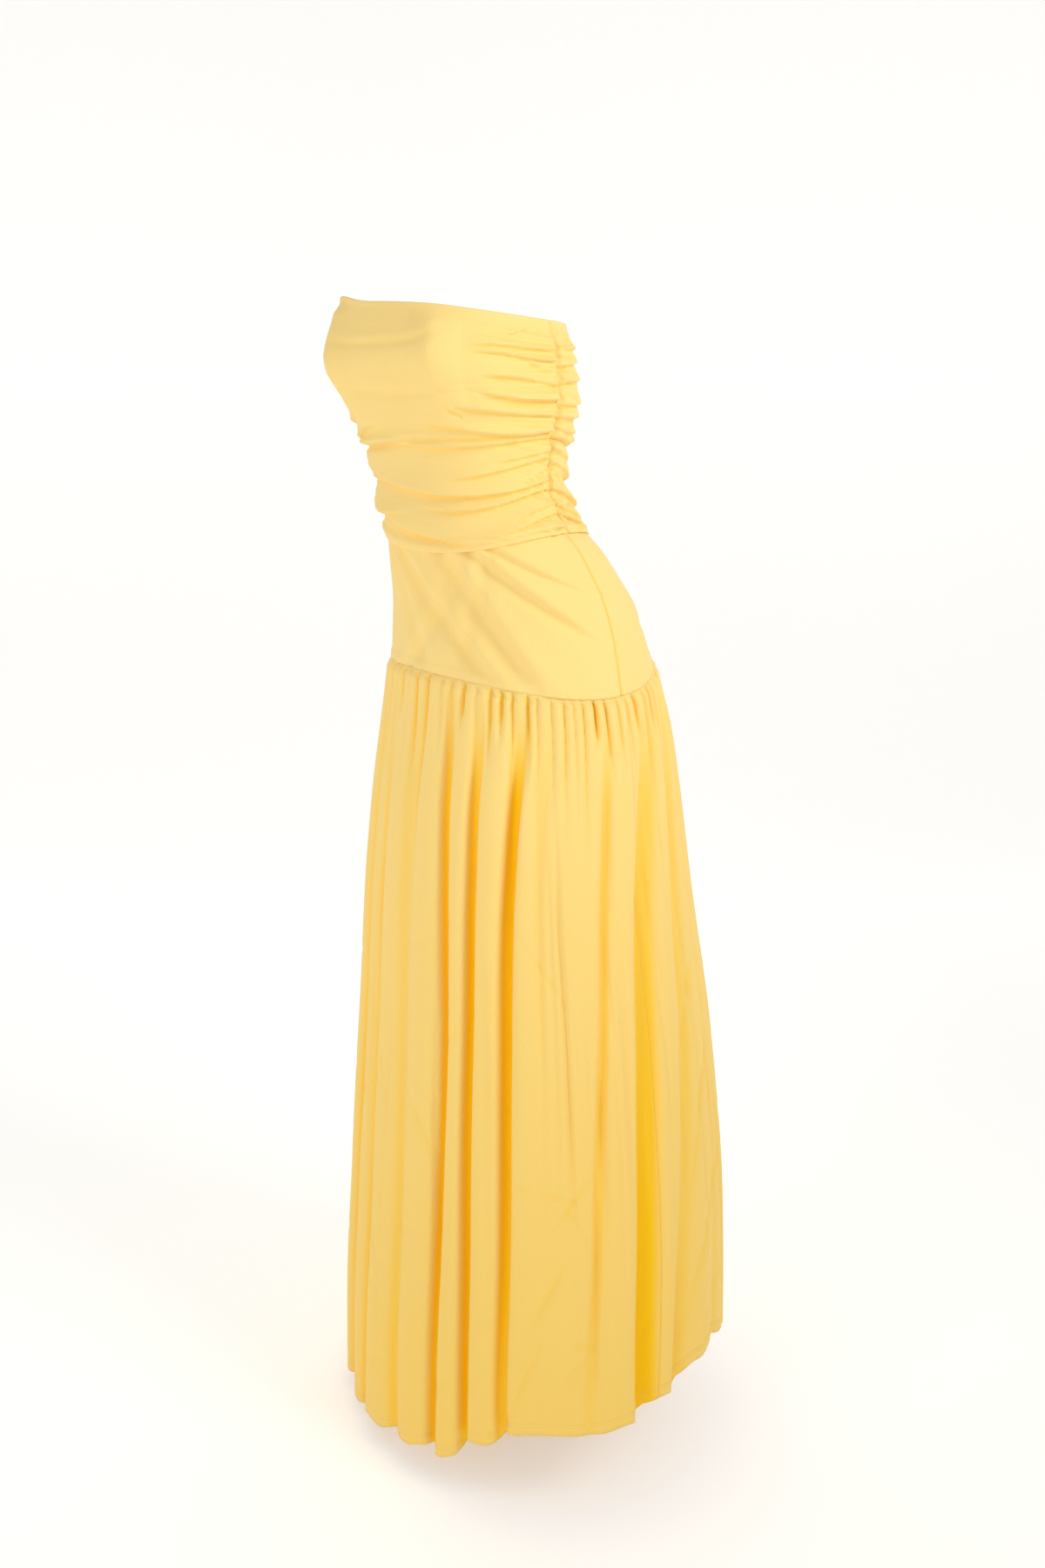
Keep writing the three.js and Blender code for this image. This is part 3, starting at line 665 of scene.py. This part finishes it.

# %% [markdown]
# ## Gathered skirt
#
# Below the drop seam the cloth puffs out in small gathers, and within a hand's width these run
# together into long folds that reach the hem. Deep channels between the folds hold the strongest
# painted shade. A channel is a row: its turn at the seam, half way down and at the hem, how deep
# the rounded valley is at the same three places, and how deep the slot in its middle is. Then come
# the slot's half-width, how crisp its walls are (2 soft, 8 crisp), and `side`: at 1 the slot is
# wide and soft towards the next channel, and the fold on its other side stands steeply over it.

# %% Long folds
CHANNEL_COLUMNS = "seam middle hem upper mid low slot_upper slot_mid slot_low width crisp side"
CHANNEL_ROWS = [
    (0.018, 0.020, 0.015, 8, 12, 12, 4, 8, 8, 6, 4, 0),
    (0.056, 0.062, 0.060, 7, 10, 13, 3, 6, 9, 6, 3, 0),
    (0.100, 0.104, 0.108, 9, 14, 15, 5, 9, 11, 7, 4, 0),
    (0.140, 0.146, 0.142, 6, 10, 14, 3, 7, 14, 5, 3, 0.5),
    (0.178, 0.188, 0.183, 6, 9, 12, 4, 6, 7, 6, 3, 0),
    (0.222, 0.232, 0.233, 7, 9, 12, 4, 4, 7, 8, 2, 0),
    (0.268, 0.275, 0.271, 11, 15, 12, 10, 13, 12, 6, 8, 0),
    (0.303, 0.300, 0.300, 11, 15, 14, 9, 14, 13, 6, 8, 0),
    (0.352, 0.334, 0.335, 10, 14, 8, 11, 15, 10, 7, 7, 0),
    (0.380, 0.368, 0.365, 6, 3, 1, 4, 0, 0, 7, 3, 0),
    (0.455, 0.422, 0.404, 7, 6, 2, 5, 7, 2, 6, 3, 0),
    (0.512, 0.462, 0.455, 7, 9, 12, 5, 11, 15, 7, 5, 0.5),
    (0.560, 0.515, 0.490, 6, 8, 10, 5, 5, 4, 5, 4, 0.4),
    (0.592, 0.560, 0.545, 6, 5, 7, 5, 2, 2, 6, 3, 0),
    (0.630, 0.606, 0.592, 8, 11, 13, 7, 9, 10, 6, 4, 0),
    (0.664, 0.650, 0.646, 6, 10, 11, 4, 7, 8, 6, 3, 0),
    (0.700, 0.690, 0.686, 9, 13, 14, 9, 13, 12, 6, 5, 0),
    (0.738, 0.735, 0.740, 7, 8, 8, 4, 5, 6, 7, 3, 0),
    (0.772, 0.776, 0.780, 9, 14, 14, 9, 13, 12, 6, 5, 0),
    (0.810, 0.816, 0.812, 7, 10, 12, 5, 7, 9, 6, 3, 0),
    (0.850, 0.862, 0.868, 8, 11, 10, 6, 8, 8, 7, 4, 0),
    (0.886, 0.900, 0.905, 7, 12, 13, 7, 11, 11, 6, 5, 0),
    (0.930, 0.942, 0.940, 8, 10, 12, 5, 6, 7, 6, 3, 0),
    (0.974, 0.982, 0.978, 7, 11, 13, 6, 8, 9, 6, 4, 0),
]
CHANNELS = table(CHANNEL_COLUMNS, CHANNEL_ROWS)
LONG_FOLDS = dict(lift=9, share=0.45, full_at=240, roundness=0.7)
SLOT_FULL_AT = 0.15
SLOT_FULLY_SHADED_AT = 13
SLOT_WANDER = 0.0012
OPEN_SIDE = dict(wider=5, crisp=1.6)


def along_channel(upper, middle, lower, down):
    """The parabola through a value at the seam, half way and at the hem."""
    from_seam = upper * (1 - down) * (1 - 2 * down)
    from_middle = 4 * middle * down * (1 - down)
    return from_seam + from_middle + lower * down * (2 * down - 1)


def valley_relief(turn, down):
    """Between two channels the cloth is a rounded arch, a power of half a sine wave, from one
    channel's depth to the next one's."""
    rows = {name: column[:, None, None] for name, column in CHANNELS.items()}
    places = along_channel(rows["seam"], rows["middle"], rows["hem"], down)
    depths = along_channel(rows["upper"], rows["mid"], rows["low"], down)
    t = places[0] + (turn - places[0]) % 1
    k = np.sum(t >= places, axis=0) - 1
    places = np.concatenate([places, places[:1] + 1])
    depths = np.concatenate([depths, depths[:1]])
    start, end = (np.take_along_axis(places, (k + i)[None], 0)[0] for i in (0, 1))
    first, second = (np.take_along_axis(depths, (k + i)[None], 0)[0] for i in (0, 1))
    x = np.clip((t - start) / (end - start), 0, 1)
    arch = np.sin(math.pi * x) ** LONG_FOLDS["roundness"]
    depth = LONG_FOLDS["share"] * blend(first, second, ease(x, 0, 1))
    return LONG_FOLDS["lift"] - depth * (1 - arch)


def slots(turn, down, round_it):
    """The slots in the middle of the channels: one over one plus a power of the distance in
    half-widths, which has a flat floor and steep walls. The open side is wider and softer. Gives
    relief and painted shade, stronger in a deeper slot."""
    relief = np.zeros_like(turn)
    painted_fold_shade = np.zeros_like(turn)
    for seam, middle, hem, _, _, _, upper, mid, low, width, crisp, side in CHANNEL_ROWS:
        place = along_channel(seam, middle, hem, down) + SLOT_WANDER * np.sin(9 * down + 40 * seam)
        depth = np.maximum(along_channel(upper, mid, low, down), 0) * ease(down, 0, SLOT_FULL_AT)
        away = ((turn - place + 0.5) % 1 - 0.5) * round_it
        open_side = away > 0
        distance = np.abs(away) / np.where(open_side, width * (1 + OPEN_SIDE["wider"] * side), width)
        power = np.where(open_side, crisp - (crisp - OPEN_SIDE["crisp"]) * side, crisp)
        shape = 1 / (1 + distance**power)
        relief -= depth * shape
        # Painted shade in the slot, stronger the deeper it is.
        shaded = np.clip(depth / SLOT_FULLY_SHADED_AT, 0, 1) * ease(shape, 0.2, 0.8)
        painted_fold_shade = np.maximum(painted_fold_shade, shaded)
    return relief, painted_fold_shade


print(len(CHANNEL_ROWS), "channels between the long folds")

# %% [markdown]
# ### Gathers
#
# The gathers are tight tucks about 15 mm apart under the yoke. Those of the front left are placed one
# by one, and the others follow at an uneven pitch. Each is a sharp valley that starts at the seam,
# widens and dies out at its own length.

# %% Gathers
LEFT_GATHERS = [
    0.156, 0.174, 0.188, 0.203, 0.217, 0.235, 0.254, 0.267, 0.283, 0.299, 0.315, 0.328, 0.340,
    0.357, 0.368, 0.384, 0.399, 0.410, 0.422, 0.438, 0.452, 0.470, 0.484,
]
GATHER_PITCH = 0.0152
GATHER_LENGTHS = [70, 120, 210, 360, 600]
GATHER_LENGTH_SHARES = [0.22, 0.23, 0.2, 0.2, 0.15]
GATHER = dict(depth=8.5, puff=5.0, full_at=12, gone_at=230)
GATHER_LINE = dict(width=2.2, widening=0.02, weaker=260, painted_shade=0.9)


def gather_table():
    """The placed gathers, then others round the rest of the dress at a jittered pitch."""
    count = int((1 - LEFT_GATHERS[-1] + LEFT_GATHERS[0]) / GATHER_PITCH)
    rest = LEFT_GATHERS[-1] + GATHER_PITCH * (np.arange(count) + 0.9)
    turns = np.concatenate([LEFT_GATHERS, rest + random.uniform(-0.3, 0.3, count) * GATHER_PITCH])
    n = len(turns)
    reach = random.choice(GATHER_LENGTHS, n, p=GATHER_LENGTH_SHARES)
    depth = random.uniform(0.4, 1.3, n)
    drift = random.uniform(-0.004, 0.004, n)
    return np.stack([turns, reach, depth, drift], -1)


GATHER_ROWS = gather_table()


def gathers(turn, below, round_it):
    """A puff of cloth under the seam, less one sharp valley for each gather: an exponential of the
    distance from its line. Gives relief and the painted shade in the valleys."""
    valley = np.zeros_like(turn)
    for place, reach, depth, drift in GATHER_ROWS:
        line = place + drift * below / reach
        away = np.abs((turn - line + 0.5) % 1 - 0.5) * round_it
        width = GATHER_LINE["width"] + GATHER_LINE["widening"] * below
        fade = ease(below, 0, 9) * (1 - ease(below, 0.3 * reach, reach))
        valley = np.maximum(valley, depth * fade * np.exp(-away / width - below / GATHER_LINE["weaker"]))
    puff = ease(below, 0, GATHER["full_at"]) * (1 - ease(below, 40, GATHER["gone_at"]))
    # Painted shade in the valleys of the gathers.
    return GATHER["puff"] * puff - GATHER["depth"] * valley, GATHER_LINE["painted_shade"] * ease(valley, 0.2, 0.9)


print(len(GATHER_ROWS), "gathers")

# %% [markdown]
# ### Soft pleats and creases
#
# Between the long folds the cloth still waves a little. These pleats are soft bells that run down
# the skirt for a while and die out. Long thin bells that slant across the cloth make faint creases:
# the rows of the table fan over the left side, and the others are scattered over the lower skirt.

# %% Soft pleats
PLEAT_COUNT = 95
PLEAT_LOW = dict(turn=0, begins=60, length=200, depth=0.9, half_width=2.5, drift=-0.010)
PLEAT_HIGH = dict(turn=1, begins=450, length=620, depth=2.6, half_width=6.5, drift=0.010)
PLEAT_ROWS = random.uniform(list(PLEAT_LOW.values()), list(PLEAT_HIGH.values()), (PLEAT_COUNT, 6))


def pleat_relief(turn, below, round_it):
    """Soft pleats: a bell of the distance from each line, over its own length."""
    relief = np.zeros_like(turn)
    for place, begins, length, depth, half_width, drift in PLEAT_ROWS:
        x = (below - begins) / length
        away = ((turn - place - drift * x + 0.5) % 1 - 0.5) * round_it
        relief -= depth * ease(x, 0, 0.3) * (1 - ease(x, 0.6, 1)) * bell(away / half_width)
    return relief


print(PLEAT_COUNT, "soft pleats")

# %% Creases of the skirt
CREASE_COLUMNS = "turn height slant length depth width"
CREASE_ROWS = [
    (0.530, -700, 1.15, 70, 2.4, 4.5),
    (0.545, -790, 1.00, 60, 2.2, 4.5),
    (0.525, -860, 1.25, 80, 2.6, 5.5),
    (0.550, -930, 0.95, 55, 2.0, 4.0),
    (0.520, -1010, 1.10, 70, 2.2, 5.0),
    (0.540, -1070, 0.80, 40, 1.8, 3.5),
    (0.390, -905, 0.90, 40, 1.9, 3.0),
    (0.372, -1010, 1.10, 45, 2.0, 3.0),
    (0.400, -1090, 0.75, 35, 1.9, 2.8),
    (0.352, -1120, 1.20, 50, 1.8, 3.0),
]
CREASE_COUNT = 80
CREASE_LOW = (0, -1230, -1.3, 20, 0.5, 2.5)
CREASE_HIGH = (1, -620, 1.3, 60, 1.5, 4.0)
SCATTERED_CREASES = random.uniform(CREASE_LOW, CREASE_HIGH, (CREASE_COUNT, len(CREASE_LOW)))
CREASES = np.concatenate([CREASE_ROWS, SCATTERED_CREASES])
print(len(CREASES), "creases, each with", CREASE_COLUMNS)


def crease_relief(turn, height, round_it):
    """Creases: a bell of the distance along each line times a bell of the distance away from it."""
    relief = np.zeros_like(turn)
    for place, middle, slant, length, depth, width in CREASES:
        x = ((turn - place + 0.5) % 1 - 0.5) * round_it
        y = height - middle
        along = x * math.cos(slant) + y * math.sin(slant)
        away = y * math.cos(slant) - x * math.sin(slant)
        relief -= depth * bell(along / length) * bell(away / width)
    return relief


# %% [markdown]
# ### The skirt's surface
#
# The folds bunch the cloth, so even steps round the body would leave too few points on a fold's
# walls. Each row is first measured along its folds on a fine grid, and the columns are then put at
# almost even steps of cloth.

# %% Hem
HEM_DIP = 2.5
HEM_LIFT_COLUMNS = "turn lift"
HEM_LIFT_ROWS = [
    (0.000, 0), (0.140, 0), (0.190, -8), (0.228, -8), (0.238, -10), (0.266, -10), (0.276, -13),
    (0.296, -13), (0.304, 9), (0.331, 9), (0.339, 19), (0.400, 2), (0.450, -14), (0.460, -4),
    (0.486, -4), (0.494, 10), (0.545, 14), (0.600, 0), (0.660, -6), (0.700, 4), (0.750, -6),
    (0.800, 3), (0.880, -6), (0.940, 4), (1.000, 0),
]
HEM_LIFTS = table(HEM_LIFT_COLUMNS, HEM_LIFT_ROWS)


def hem_height(turn):
    """The hem as it hangs: its tilted edge, a slow wave, and each fold's own lift from the table."""
    wave = HEM_DIP * np.sin(TAU * 21 * turn + 3 * np.sin(TAU * 4 * turn))
    return edge_height(HEM, turn) - wave + np.interp(turn % 1, HEM_LIFTS["turn"], HEM_LIFTS["lift"])


print("the hem hangs down to", hem_height(np.linspace(0, 1, 101)).min().round(), "mm")

# %% Skirt surface
SKIRT_GRID = dict(across=310, down=150)
ROW_CROWDING = 0.35
HEM_GROOVE = dict(above=12, depth=0.7, half_width=3.5)
DROP_SEAM_DIP = dict(depth=1.3, reach=4)
# Painted shade of the skirt: it grows towards the hem, and is strongest in the creases.
SKIRT_PAINTED_SHADE = dict(top=0.06, hem=0.42, crease=0.3)
CREASE_SHADED = dict(start=0.3, end=2)
FINE_STEPS = 2000
EVENNESS = 0.75


def skirt_surface(half, across, down):
    """The figure from the drop seam to the hem, moved out by the sum of all the folds. Gives points
    and painted shade, which grows towards the hem and is strongest in slots, gathers and creases."""
    forward = blend(SEAM_FORWARD["drop"], SEAM_FORWARD["hem"], down)
    turn, from_left, from_right = place_on_panel("skirt", half, across, forward)
    upper = edge_height(DROP_SEAM, turn) + SEAM_TUCK
    lower = hem_height(turn)
    height = blend(upper, lower, down)
    below = upper - height
    round_it = girth(height)
    slot_relief, slot_shade = slots(turn, down, round_it)
    gather_relief, gather_shade = gathers(turn, below, round_it)
    relief = ease(below, 0, LONG_FOLDS["full_at"]) * valley_relief(turn, down)
    relief += slot_relief + gather_relief + pleat_relief(turn, below, round_it)
    creases = crease_relief(turn, height, round_it)
    relief += creases
    above_hem = height - lower - HEM_GROOVE["above"]
    relief -= HEM_GROOVE["depth"] * bell(above_hem / HEM_GROOVE["half_width"])
    dip = DROP_SEAM_DIP["depth"] * ease(below, DROP_SEAM_DIP["reach"], 0)
    relief -= dip + side_tuck(half, from_left, from_right)
    # Painted shade: growing towards the hem, and strongest in slots, gathers and creases.
    painted_shade = blend(SKIRT_PAINTED_SHADE["top"], SKIRT_PAINTED_SHADE["hem"], down)
    crease_shade = SKIRT_PAINTED_SHADE["crease"] * ease(-creases, CREASE_SHADED["start"], CREASE_SHADED["end"])
    deepest = np.maximum(np.maximum(slot_shade, gather_shade), crease_shade)
    return lift(turn, height, relief), painted_shade + (1 - painted_shade) * deepest


def even_columns(half, down, count):
    """Where the columns of each row go: the row's length of cloth, read backwards at even steps."""
    fine = np.linspace(0, 1, FINE_STEPS + 1)
    grid_across, grid_down = np.meshgrid(fine, down)
    points, _ = skirt_surface(half, grid_across, grid_down)
    length = lengths(points, 1)
    share = blend(fine, length / length[:, -1:], EVENNESS)
    return np.array([np.interp(np.linspace(0, 1, count + 1), row, fine) for row in share])


def skirt(half):
    """The surface on rows that lie closer under the drop seam, and on columns of even cloth."""
    even = np.linspace(0, 1, SKIRT_GRID["down"] + 1)
    down = (1 - ROW_CROWDING) * even + ROW_CROWDING * even**2
    across = even_columns(half, down, SKIRT_GRID["across"])
    return skirt_surface(half, across, down[:, None] + 0 * across)


skirt_front = cloth_mesh("jersey_skirt_front", skirt("front"), JERSEY)
skirt_back = cloth_mesh("jersey_skirt_back", skirt("back"), JERSEY)

# %% [markdown]
# ### Hem stitching
#
# The hem is turned up and sewn with a twin needle: two rows of stitches, 4 mm apart. A stitch is a
# small raised bar that follows the cloth, and each panel's stitches are joined into one mesh.

# %% Where the stitches lie
STITCH = dict(pitch=3.4, share=0.68, half_width=0.35, height=0.35)
STITCH_ROWS = (10, 14)


def stitch_line(half, above):
    """Points at even steps along one row of stitches, with the step to the next one and the unit
    direction out of the cloth at each."""
    fine = np.linspace(0, 1, 2 * FINE_STEPS + 1)[None]
    turn, _, _ = place_on_panel("skirt", half, fine, SEAM_FORWARD["hem"])
    drop = edge_height(DROP_SEAM, turn) - hem_height(turn)
    points, _ = skirt_surface(half, fine, 1 - above / drop)
    length = lengths(points, 1)[0]
    steps = np.arange(STITCH["pitch"], length[-1] - STITCH["pitch"], STITCH["pitch"])
    line = np.stack([np.interp(steps, length, points[0, :, axis]) for axis in range(3)], -1)
    along = np.gradient(line, axis=0)
    out = np.cross(along, [0, 0, 1])
    return line, along, out / np.linalg.norm(out, axis=1, keepdims=True)


print("stitch rows", STITCH_ROWS, "mm above the edge")

# %% Hem stitches
STITCH_YELLOW = (0.90, 0.62, 0.17, 1)
BAR_FACES = np.array([(3, 2, 1, 0), (4, 5, 6, 7), (0, 1, 5, 4), (1, 2, 6, 5), (2, 3, 7, 6), (3, 0, 4, 7)])
THREAD, _, _, thread_shader = new_material("thread")
thread_shader.inputs["Base Color"].default_value = STITCH_YELLOW
thread_shader.inputs["Roughness"].default_value = 0.7


def hem_stitches(name, half):
    """Bars with eight corners: four just inside the cloth, then the same four just outside it. Each
    four go round from the lower start to the upper start of the bar."""
    bars = []
    for above in STITCH_ROWS:
        line, along, out = stitch_line(half, above)
        corners = []
        for outwards in (-STITCH["height"], STITCH["height"]):
            for a, b in ((-1, -1), (1, -1), (1, 1), (-1, 1)):
                rise = np.array([0, 0, b * STITCH["half_width"]])
                corners.append(line + a * along * STITCH["share"] / 2 + outwards * out + rise)
        bars.append(np.stack(corners, 1))
    points = np.concatenate(bars).reshape(-1, 3)
    faces = (BAR_FACES[None] + 8 * np.arange(len(points) // 8)[:, None, None]).reshape(-1, 4)
    mesh = bpy.data.meshes.new(name)
    mesh.from_pydata((points * MM).tolist(), [], faces.tolist())
    mesh.materials.append(THREAD)
    piece = bpy.data.objects.new(name, mesh)
    bpy.context.scene.collection.objects.link(piece)
    print(name, len(points) // 8, "stitches")
    return piece


stitches_front = hem_stitches("hem_stitching_front", "front")
stitches_back = hem_stitches("hem_stitching_back", "back")

# %% [markdown]
# ## Floor and light
#
# A pale floor sweeps up into a wall, so there is no horizon line. It glows a little, as a lit
# backdrop does. The light is soft: a lamp on the camera's right, above the dress, a wider one at
# waist height on the camera's left, and a pale world all round, which keeps the shade open and warm.

# %% Floor
FLOOR_HEIGHT = -1.285
FLOOR_HALF_WIDTH = 6.0
FLOOR_FRONT = -6.0
WALL_BEHIND = 2.2
SWEEP_RADIUS = 1.5
WALL_HEIGHT = 5.0
FLOOR_GLOW = 0.35


def make_floor():
    """A strip along the camera's view: its profile is a level line, a quarter circle and a wall."""
    angle = np.linspace(0, math.pi / 2, 24)
    wall = WALL_BEHIND + SWEEP_RADIUS
    away = np.concatenate([[FLOOR_FRONT], WALL_BEHIND + SWEEP_RADIUS * np.sin(angle), [wall]])
    up = np.concatenate([[0], SWEEP_RADIUS * (1 - np.cos(angle)), [WALL_HEIGHT]]) + FLOOR_HEIGHT
    turn = math.radians(CAMERA_TURN)
    back = np.array([-math.sin(turn), math.cos(turn)])
    right = np.array([math.cos(turn), math.sin(turn)])
    left_edge, right_edge = (away[:, None] * back + side * FLOOR_HALF_WIDTH * right for side in (-1, 1))
    points = np.stack([np.c_[left_edge, up], np.c_[right_edge, up]], 1)
    number = np.arange(2 * len(up)).reshape(-1, 2)
    faces = np.stack([number[:-1, 0], number[:-1, 1], number[1:, 1], number[1:, 0]], -1)
    mesh = bpy.data.meshes.new("floor")
    mesh.from_pydata(points.reshape(-1, 3).tolist(), [], faces.tolist())
    mesh.polygons.foreach_set("use_smooth", np.ones(len(faces), bool))
    material, _, _, shader = new_material("pale_floor")
    shader.inputs["Base Color"].default_value = (0.93, 0.925, 0.91, 1)
    shader.inputs["Roughness"].default_value = 0.9
    shader.inputs["Emission Color"].default_value = (1, 1, 1, 1)
    shader.inputs["Emission Strength"].default_value = FLOOR_GLOW
    mesh.materials.append(material)
    floor = bpy.data.objects.new("floor", mesh)
    bpy.context.scene.collection.objects.link(floor)


make_floor()
print("floor at", FLOOR_HEIGHT, "m")

# %% Lights
WORLD_STRENGTH = 0.565


def soft_lamp(name, azimuth, elevation, distance, size, power, spread, aim):
    """A square lamp on a sphere round the point aim, facing it. Azimuth 0 is in front of the dress
    and 90 is on the wearer's left. A spread under 180 degrees keeps its light near the aim."""
    a, e = math.radians(azimuth), math.radians(elevation)
    data = bpy.data.lights.new(name, "AREA")
    data.size = size
    data.energy = power
    data.spread = math.radians(spread)
    lamp = bpy.data.objects.new(name, data)
    out = np.array([math.sin(a) * math.cos(e), -math.cos(a) * math.cos(e), math.sin(e)])
    lamp.location = np.array(aim) + distance * out
    lamp.rotation_euler = (math.pi / 2 - e, 0, a)
    bpy.context.scene.collection.objects.link(lamp)


soft_lamp("key_lamp", 98, 25, 1.8, 0.8, 3.9, spread=85, aim=(0.04, 0.05, -0.12))
soft_lamp("fill_lamp", 5, 5, 2.2, 1.2, 2.2, spread=70, aim=(0.04, 0.05, -0.35))
world = bpy.data.worlds.new("studio")
world.use_nodes = True
world.node_tree.nodes["Background"].inputs["Color"].default_value = (1, 0.985, 0.96, 1)
world.node_tree.nodes["Background"].inputs["Strength"].default_value = WORLD_STRENGTH
bpy.context.scene.world = world
bpy.context.scene.view_settings.view_transform = "Standard"

# %% [markdown]
# ## Joining the frame
#
# Each panel stands for the frame's nodes of the same place, which are hidden, and rides on the one
# body. The frame divides a skirt panel into three levels, which here are one length of cloth.

# %% Ride and replace
FRONT_LEVELS = ["skirt_front_upper", "skirt_front_middle", "skirt_front_lower"]
BACK_LEVELS = ["skirt_back_upper", "skirt_back_middle", "skirt_back_lower"]
PANELS = [
    (bodice_front, ["bodice_front"], (0.40, 0.36), "gathered", [], []),
    (bodice_back, ["bodice_back"], (0.36, 0.34), "gathered", [], []),
    (yoke_front, ["yoke_front"], (0.43, 0.17), "stretched", [bodice_front], []),
    (yoke_back, ["yoke_back"], (0.47, 0.16), "stretched", [bodice_back], []),
    (skirt_front, FRONT_LEVELS, (0.85, 0.92), "gathered", [yoke_front], [stitches_front]),
    (skirt_back, BACK_LEVELS, (0.95, 0.92), "gathered", [yoke_back], [stitches_back]),
]
for piece, nodes, cut, held, hangs_from, sewing in PANELS:
    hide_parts(*nodes)
    for part in [piece, *sewing]:
        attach(part, "root")
print(len(PANELS), "panels declared")
